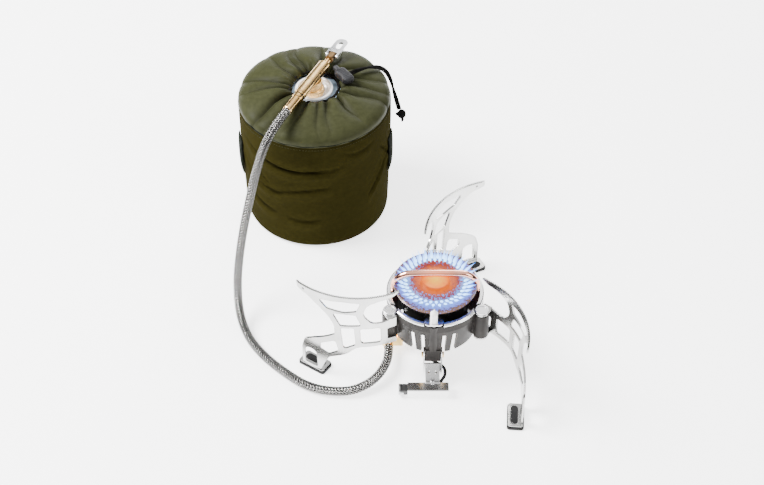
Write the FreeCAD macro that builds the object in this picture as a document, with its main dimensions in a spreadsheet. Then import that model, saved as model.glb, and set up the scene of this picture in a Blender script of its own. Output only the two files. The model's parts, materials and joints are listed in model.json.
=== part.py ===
import FreeCAD, Part
import math
import os
from FreeCAD import Placement, Rotation, Vector

# Remote canister stove: a three-legged burner, a braided gas hose, a needle valve
# and a screw-on gas canister in a padded fabric cover. Millimetres, +Z up, floor z = 0.

doc = FreeCAD.newDocument("CanisterStove")
dims = doc.addObject("Spreadsheet::Sheet", "Dims")

driving = {
    "burnerX": 46.7,  # burner axis
    "burnerY": -76.9,
    "canisterX": -50.7,  # canister axis
    "canisterY": 99.2,
    # burner housing
    "rimRadius": 37.8,
    "skirtRadius": 32.8,
    "skirtBottom": 31.0,
    "rimTop": 64.5,
    "floorBottom": 55.0,
    "floorTop": 57.8,
    "frontX": -1.8,  # boss, electrode and igniter stand left of the burner axis
    # legs
    "pivotRadius": 40.8,
    "lugRadius": 6.0,
    "lugBottom": 39.5,
    "lugTop": 62.5,
    "pinRadius": 2.5,
    "earThick": 1.5,
    "legCurve": 67.3,  # bend radius of a leg plate
    "legThick": 1.5,
    "legTop": 91.6,
    "padThick": 2.5,
    "footLength": 23.0,
    "footWidth": 12.0,
    "toothCount": 45,
    # burner inside
    "drumRadius": 28.9,
    "headRadius": 32.3,
    "headTop": 76.0,
    "cupRadius": 19.0,
    "cupTop": 80.4,
    "tubeRadius": 2.75,
    "tubeArch": 84.5,
    "portCount": 36,
    # gas hose and its ferrules
    "hoseRadius": 3.7,
    "ferruleRadius": 3.9,
    # valve
    "valveHeight": 136.0,
    "valveAngle": 64.3,
    "valveRadius": 5.15,
    "valveNear": -26.5,
    "valveFar": 20.0,
    "spindleRadius": 2.35,
    "collarRadius": 8.5,
    "threadRadius": 5.55,  # 7/16 inch lindal thread
    "runningGap": 0.05,
    # canister and cover
    "canisterRadius": 54.8,
    "canisterBase": 5.0,
    "cupRim": 15.9,
    "cupHeight": 126.0,
    "coverRadius": 63.5,
    "coverBaseRadius": 61.0,
    "seamHeight": 115.0,
    "openingRadius": 22.5,
    "strapBottom": 51.0,
    "strapLength": 34.0,
    # igniter
    "ceramicRadius": 3.0,
    "sleeveLength": 32.0,
    "sleeveDepth": 9.1,
    "sleeveHeight": 6.8,
    "sleeveBottom": 2.6,
    "buttonTravel": 3.5,
    # cord lock
    "lockTravel": 4.0,
}
for row, (name, value) in enumerate(driving.items(), start=1):
    dims.set(f"A{row}", name)
    dims.set(f"B{row}", str(value))
    dims.setAlias(f"B{row}", name)
doc.recompute()


def size(name):
    return float(dims.get(name))


pieces = []  # every finished sub-part, in the order made


# ---------------------------------------------------------------- helpers
def polar(radius, degrees):
    return radius * math.cos(math.radians(degrees)), radius * math.sin(math.radians(degrees))


def rounded(points, radius=0.0):
    """Closed outline of lines, with an arc of its own or the common radius at each corner."""
    count = len(points)
    corners = []
    for i, point in enumerate(points):
        here = Vector(point[0], point[1], 0)
        before = Vector(points[i - 1][0], points[i - 1][1], 0) - here
        after = Vector(points[(i + 1) % count][0], points[(i + 1) % count][1], 0) - here
        want = point[2] if len(point) > 2 else radius
        half = before.getAngle(after) / 2
        if want <= 0 or half > math.radians(89):
            corners.append((here, None, here))
            continue
        cut = min(want / math.tan(half), 0.48 * before.Length, 0.48 * after.Length)
        bend = cut * math.tan(half)
        before.normalize()
        after.normalize()
        inward = before + after
        inward.normalize()
        middle = here + inward * (bend / math.sin(half) - bend)
        corners.append((here + before * cut, middle, here + after * cut))
    edges = []
    for i, (start, middle, end) in enumerate(corners):
        if middle is not None:
            edges.append(Part.Arc(start, middle, end))
        following = corners[(i + 1) % count][0]
        if (following - end).Length > 1e-6:
            edges.append(Part.LineSegment(end, following))
    return edges


def circle(x, y, radius):
    return [Part.Circle(Vector(x, y, 0), Vector(0, 0, 1), radius)]


def box2(x0, y0, x1, y1, radius=0.0):
    return rounded([(x0, y0), (x1, y0), (x1, y1), (x0, y1)], radius)


def slotShape(cx, cy, length, width, degrees):
    """Oblong of the given overall length and width, its long side turned by an angle."""
    ux, uy = polar(1.0, degrees)
    run = length / 2
    side = width / 2
    corners = [(-run, -side), (run, -side), (run, side), (-run, side)]
    turned = [(cx + a * ux - b * uy, cy + a * uy + b * ux) for a, b in corners]
    return rounded(turned, side * 0.98)


def body(label, group=None):
    made = doc.addObject("PartDesign::Body", label)
    made.Label = label
    pieces.append((made, group))
    return made


def originOf(owner, role):
    return [f for f in owner.Origin.OriginFeatures if f.Role == role][0]


def sketch(owner, role, edges, offset=0.0, turn=None, shift=None):
    made = owner.newObject("Sketcher::SketchObject", owner.Name + "Sketch")
    made.AttachmentSupport = (originOf(owner, role), [""])
    made.MapMode = "FlatFace"
    base = shift or Vector(0, 0, offset)
    made.AttachmentOffset = Placement(base, turn or Rotation())
    made.addGeometry(edges, False)
    return made


def pad(owner, profile, length):
    made = owner.newObject("PartDesign::Pad", owner.Name + "Pad")
    made.Profile = profile
    made.Type = "Length"
    if isinstance(length, str):
        made.setExpression("Length", length)
    else:
        made.Length = length
    return made


def pocket(owner, profile, length, up=False):
    made = owner.newObject("PartDesign::Pocket", owner.Name + "Pocket")
    made.Profile = profile
    made.Type = "Length"
    made.Reversed = up
    if isinstance(length, str):
        made.setExpression("Length", length)
    else:
        made.Length = length
    return made


def around(owner, feature, count, axis=None, angle=360.0):
    made = owner.newObject("PartDesign::PolarPattern", owner.Name + "Ring")
    made.Originals = [feature]
    made.Axis = axis or (originOf(owner, "Z_Axis"), [""])
    made.Angle = angle
    if isinstance(count, str):
        made.setExpression("Occurrences", count)
    else:
        made.Occurrences = count
    owner.Tip = made
    return made


def spin(owner, edges):
    """Full turn of a profile drawn as radius and height about the body's Z axis."""
    profile = sketch(owner, "XZ_Plane", edges)
    made = owner.newObject("PartDesign::Revolution", owner.Name + "Turn")
    made.Profile = profile
    made.ReferenceAxis = (profile, ["V_Axis"])
    made.Angle = 360.0
    return made


def turned(label, points, group, radius=0.0):
    made = body(label, group)
    spin(made, rounded(points, radius))
    return made


def feature(label, shape, group=None):
    made = doc.addObject("Part::Feature", label)
    made.Label = label
    made.Shape = shape
    pieces.append((made, group))
    return made


def routeWire(points):
    """Straight runs joined by tangent arcs, each arc as large as its shorter run allows."""
    spots = [Vector(*point) for point in points]
    edges = []
    radii = []
    last = spots[0]
    for before, here, after in zip(spots, spots[1:], spots[2:]):
        back = before - here
        ahead = after - here
        half = back.getAngle(ahead) / 2
        cut = 0.45 * min(back.Length, ahead.Length)
        radii.append(cut * math.tan(half))
        back.normalize()
        ahead.normalize()
        inward = back + ahead
        inward.normalize()
        middle = here + inward * (cut / math.cos(half) - radii[-1])
        edges.append(Part.LineSegment(last, here + back * cut).toShape())
        edges.append(Part.Arc(here + back * cut, middle, here + ahead * cut).toShape())
        last = here + ahead * cut
    edges.append(Part.LineSegment(last, spots[-1]).toShape())
    return Part.Wire(edges), radii


def tube(label, points, radius, group=None, bore=0.0):
    wire, radii = routeWire(points)
    start = Vector(*points[0])
    heading = Vector(*points[1]) - start
    ring = Part.Wire(Part.Circle(start, heading, radius).toShape())
    shape = Part.BRepOffsetAPI.MakePipeShell(wire)
    shape.add(ring)
    shape.setTransitionMode(1)
    shape.build()
    shape.makeSolid()
    solid = shape.shape()
    if bore:
        hole = Part.BRepOffsetAPI.MakePipeShell(wire)
        hole.add(Part.Wire(Part.Circle(start, heading, bore).toShape()))
        hole.setTransitionMode(1)
        hole.build()
        hole.makeSolid()
        solid = solid.cut(hole.shape())
    expected = math.pi * (radius**2 - bore**2) * wire.Length
    share = solid.Volume / expected
    tightest = min(radii)
    print(f"{label}: length {wire.Length:.1f}, volume/expected {share:.4f}, tightest bend {tightest:.1f}")
    print("  radii", [round(value, 1) for value in radii])
    return feature(label, solid, group)


def bind(made, group):
    """Stand a finished sub-part on the burner's or the canister's axis, or along the valve."""
    if group is None:
        return
    if group == "valve":
        along = Vector(*polar(1.0, size("valveAngle")), 0)
        up = Vector(0, 0, 1)
        made.Placement = Placement(Vector(), Rotation(up.cross(along), up, along, "ZYX"))
        made.setExpression("Placement.Base.z", "Dims.valveHeight")
    elif isinstance(group, float):
        made.Placement = Placement(Vector(), Rotation(Vector(0, 0, 1), group))
    owner = "canister" if group in ("canister", "valve") else "burner"
    made.setExpression("Placement.Base.x", f"Dims.{owner}X")
    made.setExpression("Placement.Base.y", f"Dims.{owner}Y")


pivotAngles = {"left": 210.0, "right": 330.0, "rear": 90.0}
frontX = size("frontX")
frontY = -34.6  # electrode and boss, at the rim
pivotRadius = size("pivotRadius")
tubeX = 31.9  # generator tube where it passes the burner head
tubeFootX = 27.0  # and where it passes the housing's narrow bottom


# ---------------------------------------------------------------- burner housing
def burnerHousing():
    housing = body("burner_housing", "burner")
    rim = size("rimRadius")
    wall = 2.9
    low = size("skirtRadius")
    profile = [
        (rim - wall, size("rimTop")),
        (rim, size("rimTop")),
        (rim, 58.0),
        (low, size("skirtBottom")),
        (low - 2.4, size("skirtBottom")),
        (34.0, size("floorBottom")),
        (8.2, size("floorBottom")),
        (8.2, size("floorTop")),
        (rim - wall, size("floorTop")),
    ]
    spin(housing, rounded(profile))
    # three hinge lugs on short webs
    lug = sketch(housing, "XY_Plane", circle(0, pivotRadius, size("lugRadius")), size("lugBottom"))
    around(housing, pad(housing, lug, "Dims.lugTop - Dims.lugBottom"), 3)
    web = sketch(housing, "XY_Plane", box2(-4.5, 34.0, 4.5, pivotRadius), size("lugBottom") + 1)
    around(housing, pad(housing, web, "Dims.lugTop - Dims.lugBottom - 2"), 3)
    # front boss leaning in with the skirt, and the block that carries the igniter
    boss = housing.newObject("PartDesign::AdditiveLoft", "BossLoft")
    boss.Profile = sketch(housing, "XY_Plane", circle(frontX, -30.2, 4.4), 33.0)
    boss.Sections = [sketch(housing, "XY_Plane", circle(frontX, frontY, 4.6), size("rimTop"))]
    block = sketch(housing, "XY_Plane", box2(frontX - 6.35, -34.0, frontX + 6.35, -25.5, 0.8), 22.0)
    pad(housing, block, 12.0)
    # upright slots, open below, that leave the skirt as a row of fins
    centres = [267.0, 30.0, 150.0]
    narrow = [centre + step for centre in centres for step in (-13.6, 13.6)] + [30.0, 150.0]
    wide = [centre + step for centre in centres for step in (-27.3, 27.3)]
    for angles, across in ((narrow, 3.2), (wide, 4.4)):
        edges = []
        for angle in angles:
            edges += slotShape(*polar(34.5, angle), 16.0, across, angle)
        pocket(housing, sketch(housing, "XY_Plane", edges, 30.0), 23.5, up=True)
    # hollow behind the fins, cleared again where lugs, boss and webs were added
    clear = sketch(housing, "XY_Plane", circle(0, 0, 30.0), 30.0)
    pocket(housing, clear, size("floorBottom") - 30.0, up=True)
    inner = sketch(housing, "XY_Plane", circle(0, 0, rim - wall), size("floorTop"))
    pocket(housing, inner, 12.0, up=True)
    # room for the hinge ears above and below each lug
    for level, height in ((size("lugTop") + 0.2, 6.0), (size("skirtBottom") - 1, 9.3)):
        ears = sketch(housing, "XY_Plane", circle(0, pivotRadius, 6.4), level)
        around(housing, pocket(housing, ears, height, up=True), 3)
    bores = circle(0, pivotRadius, size("pinRadius") + size("runningGap"))
    around(housing, pocket(housing, sketch(housing, "XY_Plane", bores, 36.0), 30.0, up=True), 3)
    # floor: passages for the generator tube, vents and three screws
    holes = circle(tubeX - 0.7, 0, 3.4) + circle(0.7 - tubeX, 0, 3.4)
    for k in range(6):
        holes += circle(*polar(19.5, 60.0 * k), 4.5)
    for k in range(3):
        holes += circle(*polar(19.5, 120.0 * k + 30.0), 1.55)
    pocket(housing, sketch(housing, "XY_Plane", holes, 54.0), 5.0, up=True)
    # bore of the boss: electrode above, ignition wire below
    seat = sketch(housing, "XY_Plane", circle(frontX, frontY, size("ceramicRadius")), 58.0)
    pocket(housing, seat, 8.0, up=True)
    wire = housing.newObject("PartDesign::SubtractiveLoft", "WireLoft")
    wire.Profile = sketch(housing, "XY_Plane", circle(frontX, -29.6, 1.4), 21.5)
    wire.Sections = [sketch(housing, "XY_Plane", circle(frontX, frontY + 0.2, 1.4), 58.5)]
    return housing


def rimRing():
    ring = body("rim_ring", "burner")
    top = size("rimTop")
    spin(ring, rounded([(34.9, top), (38.0, top), (38.0, top + 1.2, 0.8), (37.0, top + 2), (34.9, top + 2)]))
    ears = sketch(ring, "XY_Plane", circle(0, pivotRadius, 6.4), top - 1)
    around(ring, pocket(ring, ears, 5.0, up=True), 3)
    gap = box2(frontX - 7.7, -40.0, frontX + 7.7, -30.0)
    pocket(ring, sketch(ring, "XY_Plane", gap, top - 1), 5.0, up=True)


# ---------------------------------------------------------------- burner inside
def burnerInside():
    floor = size("floorTop")
    drum = size("drumRadius")
    head = size("headTop")
    wall = body("burner_drum", "burner")
    under = head - 1.2
    points = [(7.7, floor), (drum, floor), (drum, under), (drum - 1, under), (drum - 1, floor + 1)]
    spin(wall, rounded(points + [(7.7, floor + 1)]))
    screws = sketch(wall, "XY_Plane", circle(*polar(19.5, 30.0), 1.55), floor - 1)
    around(wall, pocket(wall, screws, 3.0, up=True), 3)
    dents = sketch(wall, "XY_Plane", circle(tubeX, 0, 3.6) + circle(-tubeX, 0, 3.6), floor - 1)
    pocket(wall, dents, head, up=True)

    plate = body("burner_head", "burner")
    outer = size("headRadius")
    lip = [(17.6, under), (outer - 0.8, under), (outer - 0.8, under - 1.4), (outer, under - 1.4)]
    spin(plate, rounded(lip + [(outer, head), (17.6, head)]))
    for radius, share in ((22.2, 0.0), (25.4, 0.5)):
        start = polar(radius, share * 360.0 / size("portCount"))
        ports = sketch(plate, "XY_Plane", circle(*start, 0.9), under - 1)
        around(plate, pocket(plate, ports, 4.0, up=True), "Dims.portCount")
    gaps = circle(tubeX, 0, 3.7) + circle(-tubeX, 0, 3.7) + circle(frontX, frontY, 3.4)
    pocket(plate, sketch(plate, "XY_Plane", gaps, under - 3), 6.0, up=True)

    cup = body("burner_cup", "burner")
    wide = size("cupRadius")
    high = size("cupTop")
    base = head + 0.8
    rimAndRing = [(0, head), (wide, head), (wide, high), (wide - 0.8, high), (wide - 0.8, base)]
    rimAndRing += [(11.4, base), (11.4, high - 0.8), (10.6, high - 0.8), (10.6, base), (0, base)]
    spin(cup, rounded(rimAndRing))
    notch = sketch(cup, "XY_Plane", box2(wide - 2, -0.7, wide + 1, 0.7), high - 1.6)
    around(cup, pocket(cup, notch, 3.0, up=True), "Dims.portCount")

    turned("radiant_disc", [(0, base), (10.4, base), (10.4, base + 0.6), (6, base + 1.5), (0, base + 1.9)],
           "burner")

    mixer = body("mixing_tube", "burner")
    bottom = 23.0
    points = [(6.3, bottom), (7.6, bottom), (7.6, floor + 1), (10, floor + 1), (10, floor + 2), (6.3, floor + 2)]
    spin(mixer, rounded(points))
    for plane in ("XZ_Plane", "YZ_Plane"):
        air = sketch(mixer, plane, slotShape(0, 40.0, 9.0, 5.0, 90.0), -9.0)
        pocket(mixer, air, 18.0, up=True)
    pocket(mixer, sketch(mixer, "YZ_Plane", circle(0, 28.0, 2.8), 1.0), 9.0, up=True)

    holder = body("jet_holder", "burner")
    spin(holder, rounded([(0, bottom), (6.3, bottom), (6.3, 34), (3.2, 34), (3.2, 31), (0, 31)]))
    pocket(holder, sketch(holder, "YZ_Plane", circle(0, 28.0, 2.8), 2.8), 5.0, up=True)
    pocket(holder, sketch(holder, "YZ_Plane", circle(0, 28.0, 1.2), -2.0), 6.0, up=True)
    pocket(holder, sketch(holder, "XY_Plane", circle(0, 0, 0.8), 28.0), 4.0, up=True)
    turned("gas_jet", [(0.2, 31), (3.2, 31), (3.2, 34.6), (1.9, 36.4), (0.2, 36.4)], "burner")

    arch = size("tubeArch")
    route = [(-tubeFootX, 0, 13.0), (-tubeFootX, 0, 38.0), (-tubeX, 0, 59.0), (-tubeX, 0, 77.0),
             (-23.5, 0, arch), (0, 0, arch + 0.6), (23.5, 0, arch), (tubeX, 0, 77.0), (tubeX, 0, 59.0),
             (tubeFootX + 0.5, 0, 40.5), (tubeFootX - 1.5, 0, 32.5), (19.0, 0, 28.0), (3.0, 0, 28.0)]
    tube("generator_tube", route, size("tubeRadius"), "burner", bore=1.9)

    straps = body("drum_straps", "burner")
    upright = sketch(straps, "XY_Plane", box2(-1.5, drum, 1.5, drum + 0.7), floor)
    around(straps, pad(straps, upright, 13.0), 3)
    foot = sketch(straps, "XY_Plane", box2(-1.5, drum, 1.5, 33.9), floor)
    around(straps, pad(straps, foot, 0.8), 3)

    bolts = body("drum_screws", "burner")
    spots = [polar(19.5, 120.0 * k + 30.0) for k in range(3)]
    low = size("floorBottom")
    shanks = [edge for spot in spots for edge in circle(*spot, 1.5)]
    heads = [edge for spot in spots for edge in circle(*spot, 2.8)]
    pad(bolts, sketch(bolts, "XY_Plane", shanks, low), floor + 2.6 - low)
    pad(bolts, sketch(bolts, "XY_Plane", heads, low - 1.8), 1.8)


# ---------------------------------------------------------------- gas inlet under the burner
inletX = -36.1
inletZ = 10.5


def gasInlet():
    block = body("inlet_block", "burner")
    pad(block, sketch(block, "XY_Plane", box2(-41.0, -3.0, -24.6, 6.0, 1.0), 6.0), 10.0)
    pocket(block, sketch(block, "XY_Plane", circle(-tubeFootX, 0, 2.8), 12.9), 5.0, up=True)
    pocket(block, sketch(block, "XY_Plane", circle(-tubeFootX, 0, 1.0), 10.5), 5.0, up=True)
    drill = circle(inletX, inletZ, 1.0)
    pocket(block, sketch(block, "XZ_Plane", drill, 4.0), 6.0)
    cross = circle(0, inletZ, 1.0)
    pocket(block, sketch(block, "YZ_Plane", cross, -36.2), 8.0, up=True)
    ferrule = body("burner_ferrule", "burner")
    outer = sketch(ferrule, "XZ_Plane", circle(inletX, inletZ, size("ferruleRadius")), 3.0)
    pad(ferrule, outer, 5.5)
    pocket(ferrule, sketch(ferrule, "XZ_Plane", circle(inletX, inletZ, 1.0), 9.0), 7.0)


# ---------------------------------------------------------------- legs
legCurve = size("legCurve")
legCentre = Vector(34.2, -59.6, 0)  # centre of a leg plate's bend, with its pivot at (pivotRadius, 0)
startAngle = 88.0  # inner tip, seen from the bend's centre
middleAngle = 52.0


def arcPoint(radius, angle):
    x, y = polar(radius, angle)
    return legCentre.x + x, legCentre.y + y


def flat(points):
    """Points along the plate (arc length, height) laid on the plane that faces its middle."""
    laid = []
    for point in points:
        angle = middleAngle - startAngle + math.degrees(point[0] / legCurve)
        laid.append((legCurve * math.sin(math.radians(angle)), *point[1:]))
    return laid


legOutline = [
    (0.0, 91.6), (84.9, 91.6), (83.9, 86.6, 1), (79.5, 84.9, 3), (74.5, 83.9, 8), (64.6, 77.1), (56.5, 69.2, 12),
    (51.6, 60.0, 10), (51.3, 49.8, 2), (58.5, 44.8), (69.5, 38.4, 10), (78.8, 32.0, 9), (81.5, 22.0, 10), (81.5, 2.5),
    (64.5, 2.5), (61.0, 11.5, 8), (56.5, 22.4, 7), (42.7, 28.9, 20), (34.0, 37.5, 8), (9.0, 38.0), (2.6, 37.6),
    (2.6, 43.4, 1), (9.8, 43.4, 1.2), (10.2, 54.9, 1.2), (2.6, 55.2, 1), (2.6, 64.8), (14.5, 62.4, 5),
    (22.5, 62.8, 8), (29.6, 72.5, 9), (26.5, 83.2, 8), (16.0, 86.4, 10), (5.5, 87.6, 6),
]
legWindows = [
    [(64.8, 84.6), (44.0, 86.6, 20), (31.0, 85.6, 1.2), (34.3, 76.8, 2), (44.0, 74.8, 14), (57.4, 76.6, 2)],
    [(53.0, 72.7, 1.5), (44.0, 73.4, 14), (34.8, 73.0, 2), (30.4, 61.2, 1.5), (46.8, 60.0, 1.5)],
    [(46.6, 57.6, 1.5), (36.2, 58.9, 1.5), (35.0, 40.0, 2), (44.6, 34.4, 2)],
    [(31.6, 57.8, 2), (15.6, 57.4, 2), (15.2, 41.3, 2), (31.0, 41.6, 3)],
    [(63.4, 35.6, 2), (51.0, 42.8, 2), (48.4, 31.2, 2), (56.6, 25.4, 2), (63.5, 28.4, 2)],
    [(78.0, 24.5, 4.5), (67.5, 24.5, 4.5), (66.6, 6.4, 1.2), (78.4, 6.4, 1.2)],
]
footAngle = startAngle - math.degrees(73.0 / legCurve)


def leg(side, angle):
    plate = body(f"leg_{side}", angle)
    thick = size("legThick")
    low = size("padThick")
    top = size("legTop")
    ends = (startAngle, startAngle - math.degrees(84.9 / legCurve))
    rings = []
    for radius in (legCurve + thick / 2, legCurve - thick / 2):
        bent = [Vector(*arcPoint(radius, a), 0) for a in (ends[0], middleAngle, ends[1])]
        rings.append(Part.Arc(*bent))
    for end in ends:
        near = Vector(*arcPoint(legCurve - thick / 2, end), 0)
        rings.append(Part.LineSegment(Vector(*arcPoint(legCurve + thick / 2, end), 0), near))
    pad(plate, sketch(plate, "XY_Plane", rings, low), "Dims.legTop - Dims.padThick")
    facing = dict(turn=Rotation(Vector(0, 1, 0), middleAngle - 90.0),
                  shift=Vector(legCentre.x, 0, -legCentre.y))
    around_it = box2(-60, -10, 60, top + 10)
    profile = sketch(plate, "XZ_Plane", around_it + rounded(flat(legOutline)), **facing)
    pocket(plate, profile, legCurve + 20)
    windows = [edge for window in legWindows for edge in rounded(flat(window), 1.5)]
    windows += circle(*flat([(77.9, 88.0)])[0], 0.8)
    pocket(plate, sketch(plate, "XZ_Plane", windows, **facing), legCurve + 20)
    # teeth of the pot support
    first = startAngle - math.degrees(5.0 / legCurve)
    across = [(legCurve + a, b) for a, b in ((-2, -0.45), (2, -0.45), (2, 0.45), (-2, 0.45))]
    cos, sin = polar(1.0, first)
    gap = rounded([(a * cos - b * sin, a * sin + b * cos) for a, b in across])
    tooth = sketch(plate, "XY_Plane", gap, shift=legCentre + Vector(0, 0, top - 0.9))
    cut = pocket(plate, tooth, 3.0, up=True)
    swept = -math.degrees(77.0 / legCurve)
    ring = around(plate, cut, "Dims.toothCount", axis=(tooth, ["N_Axis"]), angle=abs(swept))
    ring.Reversed = True
    # hinge ears over and under the lug
    earThick = size("earThick")
    for level in (size("lugTop") + 0.6, size("lugBottom") - 0.4 - earThick):
        for ear in (circle(pivotRadius, 0, 5.5), box2(39.2, 0.5, 46.2, 7.6, 0.6)):
            pad(plate, sketch(plate, "XY_Plane", ear, level), "Dims.earThick")
    hole = sketch(plate, "XY_Plane", circle(pivotRadius, 0, size("pinRadius")), 30.0)
    pocket(plate, hole, 40.0, up=True)
    # foot flange, bent to the inner side of the curve, with an oblong slot
    wide = size("footWidth")
    spot = arcPoint(legCurve + thick / 2 - wide / 2, footAngle)
    flange = turnedBox(spot, wide, size("footLength"), footAngle, 2.0)
    slot = slotShape(*arcPoint(legCurve - 6.4, footAngle), 17.5, 5.6, footAngle - 90.0)
    pad(plate, sketch(plate, "XY_Plane", flange + slot, low), 1.5)

    rubber = body(f"foot_pad_{side}", angle)
    sole = turnedBox(spot, wide + 1.2, size("footLength") + 1.4, footAngle, 2.4)
    pad(rubber, sketch(rubber, "XY_Plane", sole), "Dims.padThick")
    plug = slotShape(*arcPoint(legCurve - 6.4, footAngle), 17.5, 5.6, footAngle - 90.0)
    pad(rubber, sketch(rubber, "XY_Plane", plug, low - 0.5), 2.6)

    rivet = body(f"leg_pin_{side}", angle)
    shank = size("pinRadius")
    over = size("lugTop") + 0.6 + earThick
    under = size("lugBottom") - 0.4 - earThick
    points = [(0, under - 1.3), (4.4, under - 1.3, 0.6), (4.4, under), (shank, under), (shank, over),
              (5.2, over), (5.2, over + 1.7, 0.5), (3.7, over + 1.7), (3.7, over + 1.3), (0, over + 1.3)]
    made = spin(rivet, rounded(points))
    made.Profile[0].AttachmentOffset = Placement(Vector(pivotRadius, 0, 0), Rotation())


def turnedBox(centre, wide, long, angle, radius):
    """Rectangle with its short side along an angle from +X, rounded at the corners."""
    ux, uy = polar(1.0, angle)
    corners = []
    for a, b in ((-wide / 2, -long / 2), (wide / 2, -long / 2), (wide / 2, long / 2), (-wide / 2, long / 2)):
        corners.append((centre[0] + a * ux - b * uy, centre[1] + a * uy + b * ux))
    return rounded(corners, radius)


# ---------------------------------------------------------------- igniter
def igniter():
    bottom = size("sleeveBottom")
    high = size("sleeveHeight")
    deep = size("sleeveDepth")
    long = size("sleeveLength")
    left = frontX - 19.6
    back = -44.4
    middle = bottom + high / 2

    sleeve = body("igniter_sleeve", "burner")
    outer = sketch(sleeve, "YZ_Plane", box2(back - deep, bottom, back, bottom + high, 0.8), left)
    pad(sleeve, outer, "Dims.sleeveLength")
    wall = 0.8
    hollow = box2(back - deep + wall, bottom + wall, back - wall, bottom + high - wall, 0.4)
    pocket(sleeve, sketch(sleeve, "YZ_Plane", hollow, left - 1), long + 1 - wall, up=True)

    piezo = body("igniter_body", "burner")
    start = left + 13.0
    filling = box2(back - deep + wall, bottom + wall, back - wall, bottom + high - wall, 0.4)
    pad(piezo, sketch(piezo, "YZ_Plane", filling, start), left + long - wall - start)
    centre = back - deep / 2
    pocket(piezo, sketch(piezo, "YZ_Plane", circle(centre, middle, 2.2), start - 1), 9.0, up=True)

    # square plunger that slides in the sleeve, and the flanged cap on its end
    plunger = body("igniter_plunger", "burner")
    slack = wall + 0.08
    square = box2(back - deep + slack, bottom + slack, back - slack, bottom + high - slack, 0.4)
    pad(plunger, sketch(plunger, "YZ_Plane", square, left - 5.8), 5.8 + 8.0)
    front = box2(back - deep, bottom, centre - 0.6, middle + 1.6)
    pocket(plunger, sketch(plunger, "YZ_Plane", front, left - 6.0), 6.0 + 0.5 - size("buttonTravel"), up=True)
    pocket(plunger, sketch(plunger, "YZ_Plane", circle(centre, middle, 2.2), left - 0.4), 10.0, up=True)
    button = body("igniter_button", "burner")
    pad(button, sketch(button, "YZ_Plane", circle(centre, middle, 4.5), left - 7.0), 1.2)
    pad(button, sketch(button, "YZ_Plane", circle(centre - 2.15, middle - 0.6, 1.5), left - 5.8), 2.8)

    coil = body("igniter_spring", "burner")
    ring = sketch(coil, "YZ_Plane", circle(centre, middle, 2.0) + circle(centre, middle, 1.5), left + 3.2)
    pad(coil, ring, 13.0 + 8.0 - 3.2)

    bracket = body("igniter_bracket", "burner")
    half = 7.35
    web = rounded([(-half, 20.5), (half, 20.5), (half, 7.6), (5.6, 7.6), (2.6, 12.4, 1), (-2.6, 12.4, 1),
                   (-5.6, 7.6), (-half, 7.6)])
    pad(bracket, sketch(bracket, "XZ_Plane", web, shift=Vector(frontX, 0, 34.2)), 1.0)
    sides = box2(-35.2, 17.0, -27.5, 33.0, 2.0)
    for x in (frontX - half, frontX + half - 0.9):
        pad(bracket, sketch(bracket, "YZ_Plane", sides, x), 0.9)
    tongue = box2(frontX - 5.6, -45.6, frontX + 5.6, -34.2, 0.6)
    pad(bracket, sketch(bracket, "XY_Plane", tongue, bottom + high), 0.9)
    ridge = slotShape(0, 0, 12.6, 3.6, 90.0)
    pad(bracket, sketch(bracket, "XY_Plane", ridge, shift=Vector(frontX, -39.4, bottom + high)), 1.9)
    web2 = box2(-2.0, bottom + high, 2.0, 14.5, 0.5)
    pad(bracket, sketch(bracket, "XZ_Plane", web2, shift=Vector(frontX, 0, 34.2)), 1.0)
    holes = circle(-30.5, 26.0, 1.4)
    pocket(bracket, sketch(bracket, "YZ_Plane", holes, -12.0), 22.0, up=True)

    screws = body("igniter_screws", "burner")
    for x, run in ((frontX - half - 1.4, 1.4), (frontX + half, 1.4)):
        pad(screws, sketch(screws, "YZ_Plane", circle(-30.5, 26.0, 2.3), x), run)
    for x in (frontX - half, frontX + half - 1.0):
        pad(screws, sketch(screws, "YZ_Plane", circle(-30.5, 26.0, 1.35), x), 1.0)

    wide = size("ceramicRadius")
    ceramic = [(0, 58.0), (wide, 58.0), (wide, 77.0, 0.8), (1.4, 78.5), (0, 78.5)]
    electrode = body("spark_electrode", "burner")
    spin(electrode, rounded(ceramic)).Profile[0].AttachmentOffset = Placement(
        Vector(frontX, 0, -frontY), Rotation())
    needle = body("electrode_needle", "burner")
    tip = sketch(needle, "XY_Plane", circle(frontX, frontY, 0.7), 78.5)
    pad(needle, tip, 2.4)
    clip = body("electrode_clip", "burner")
    plate = slotShape(frontX, frontY, 14.8, 8.2, 0.0) + circle(frontX, frontY, wide)
    pad(clip, sketch(clip, "XY_Plane", plate, size("rimTop") + 2), 0.9)
    wire = [(0, frontY + 0.3, 57.8), (0, -29.3, 19.5), (1.5, -29.0, 15.6), (6.5, -30.2, 14.2),
            (9.9, -33.4, 12.4), (10.0, -37.4, 9.0), (6.6, -40.6, 6.2), (6.6, back, 6.2)]
    wire = [(frontX + x, y, z) for x, y, z in wire]
    tube("ignition_wire", wire, 1.25, "burner")


# ---------------------------------------------------------------- hose
hoseRoute = [
    (-71.1, 56.8, 136.0), (-79.5, 39.3, 135.8), (-87.9, 21.7, 129.5), (-94.3, 7.1, 115.0),
    (-99.9, -1.9, 94.0), (-105.2, -9.4, 72.0), (-109.6, -18.4, 49.0), (-112.2, -30.9, 27.0),
    (-110.2, -48.4, 10.5), (-102.8, -67.9, 4.2), (-90.8, -86.4, 3.8), (-73.8, -104.4, 3.8),
    (-50.8, -123.1, 3.8), (-24.8, -127.9, 4.6), (-9.4, -123.8, 6.2), (1.4, -115.4, 8.2),
    (7.8, -105.2, 9.8), (10.6, -95.0, 10.5), (10.6, -85.4, 10.5),
]


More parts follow.
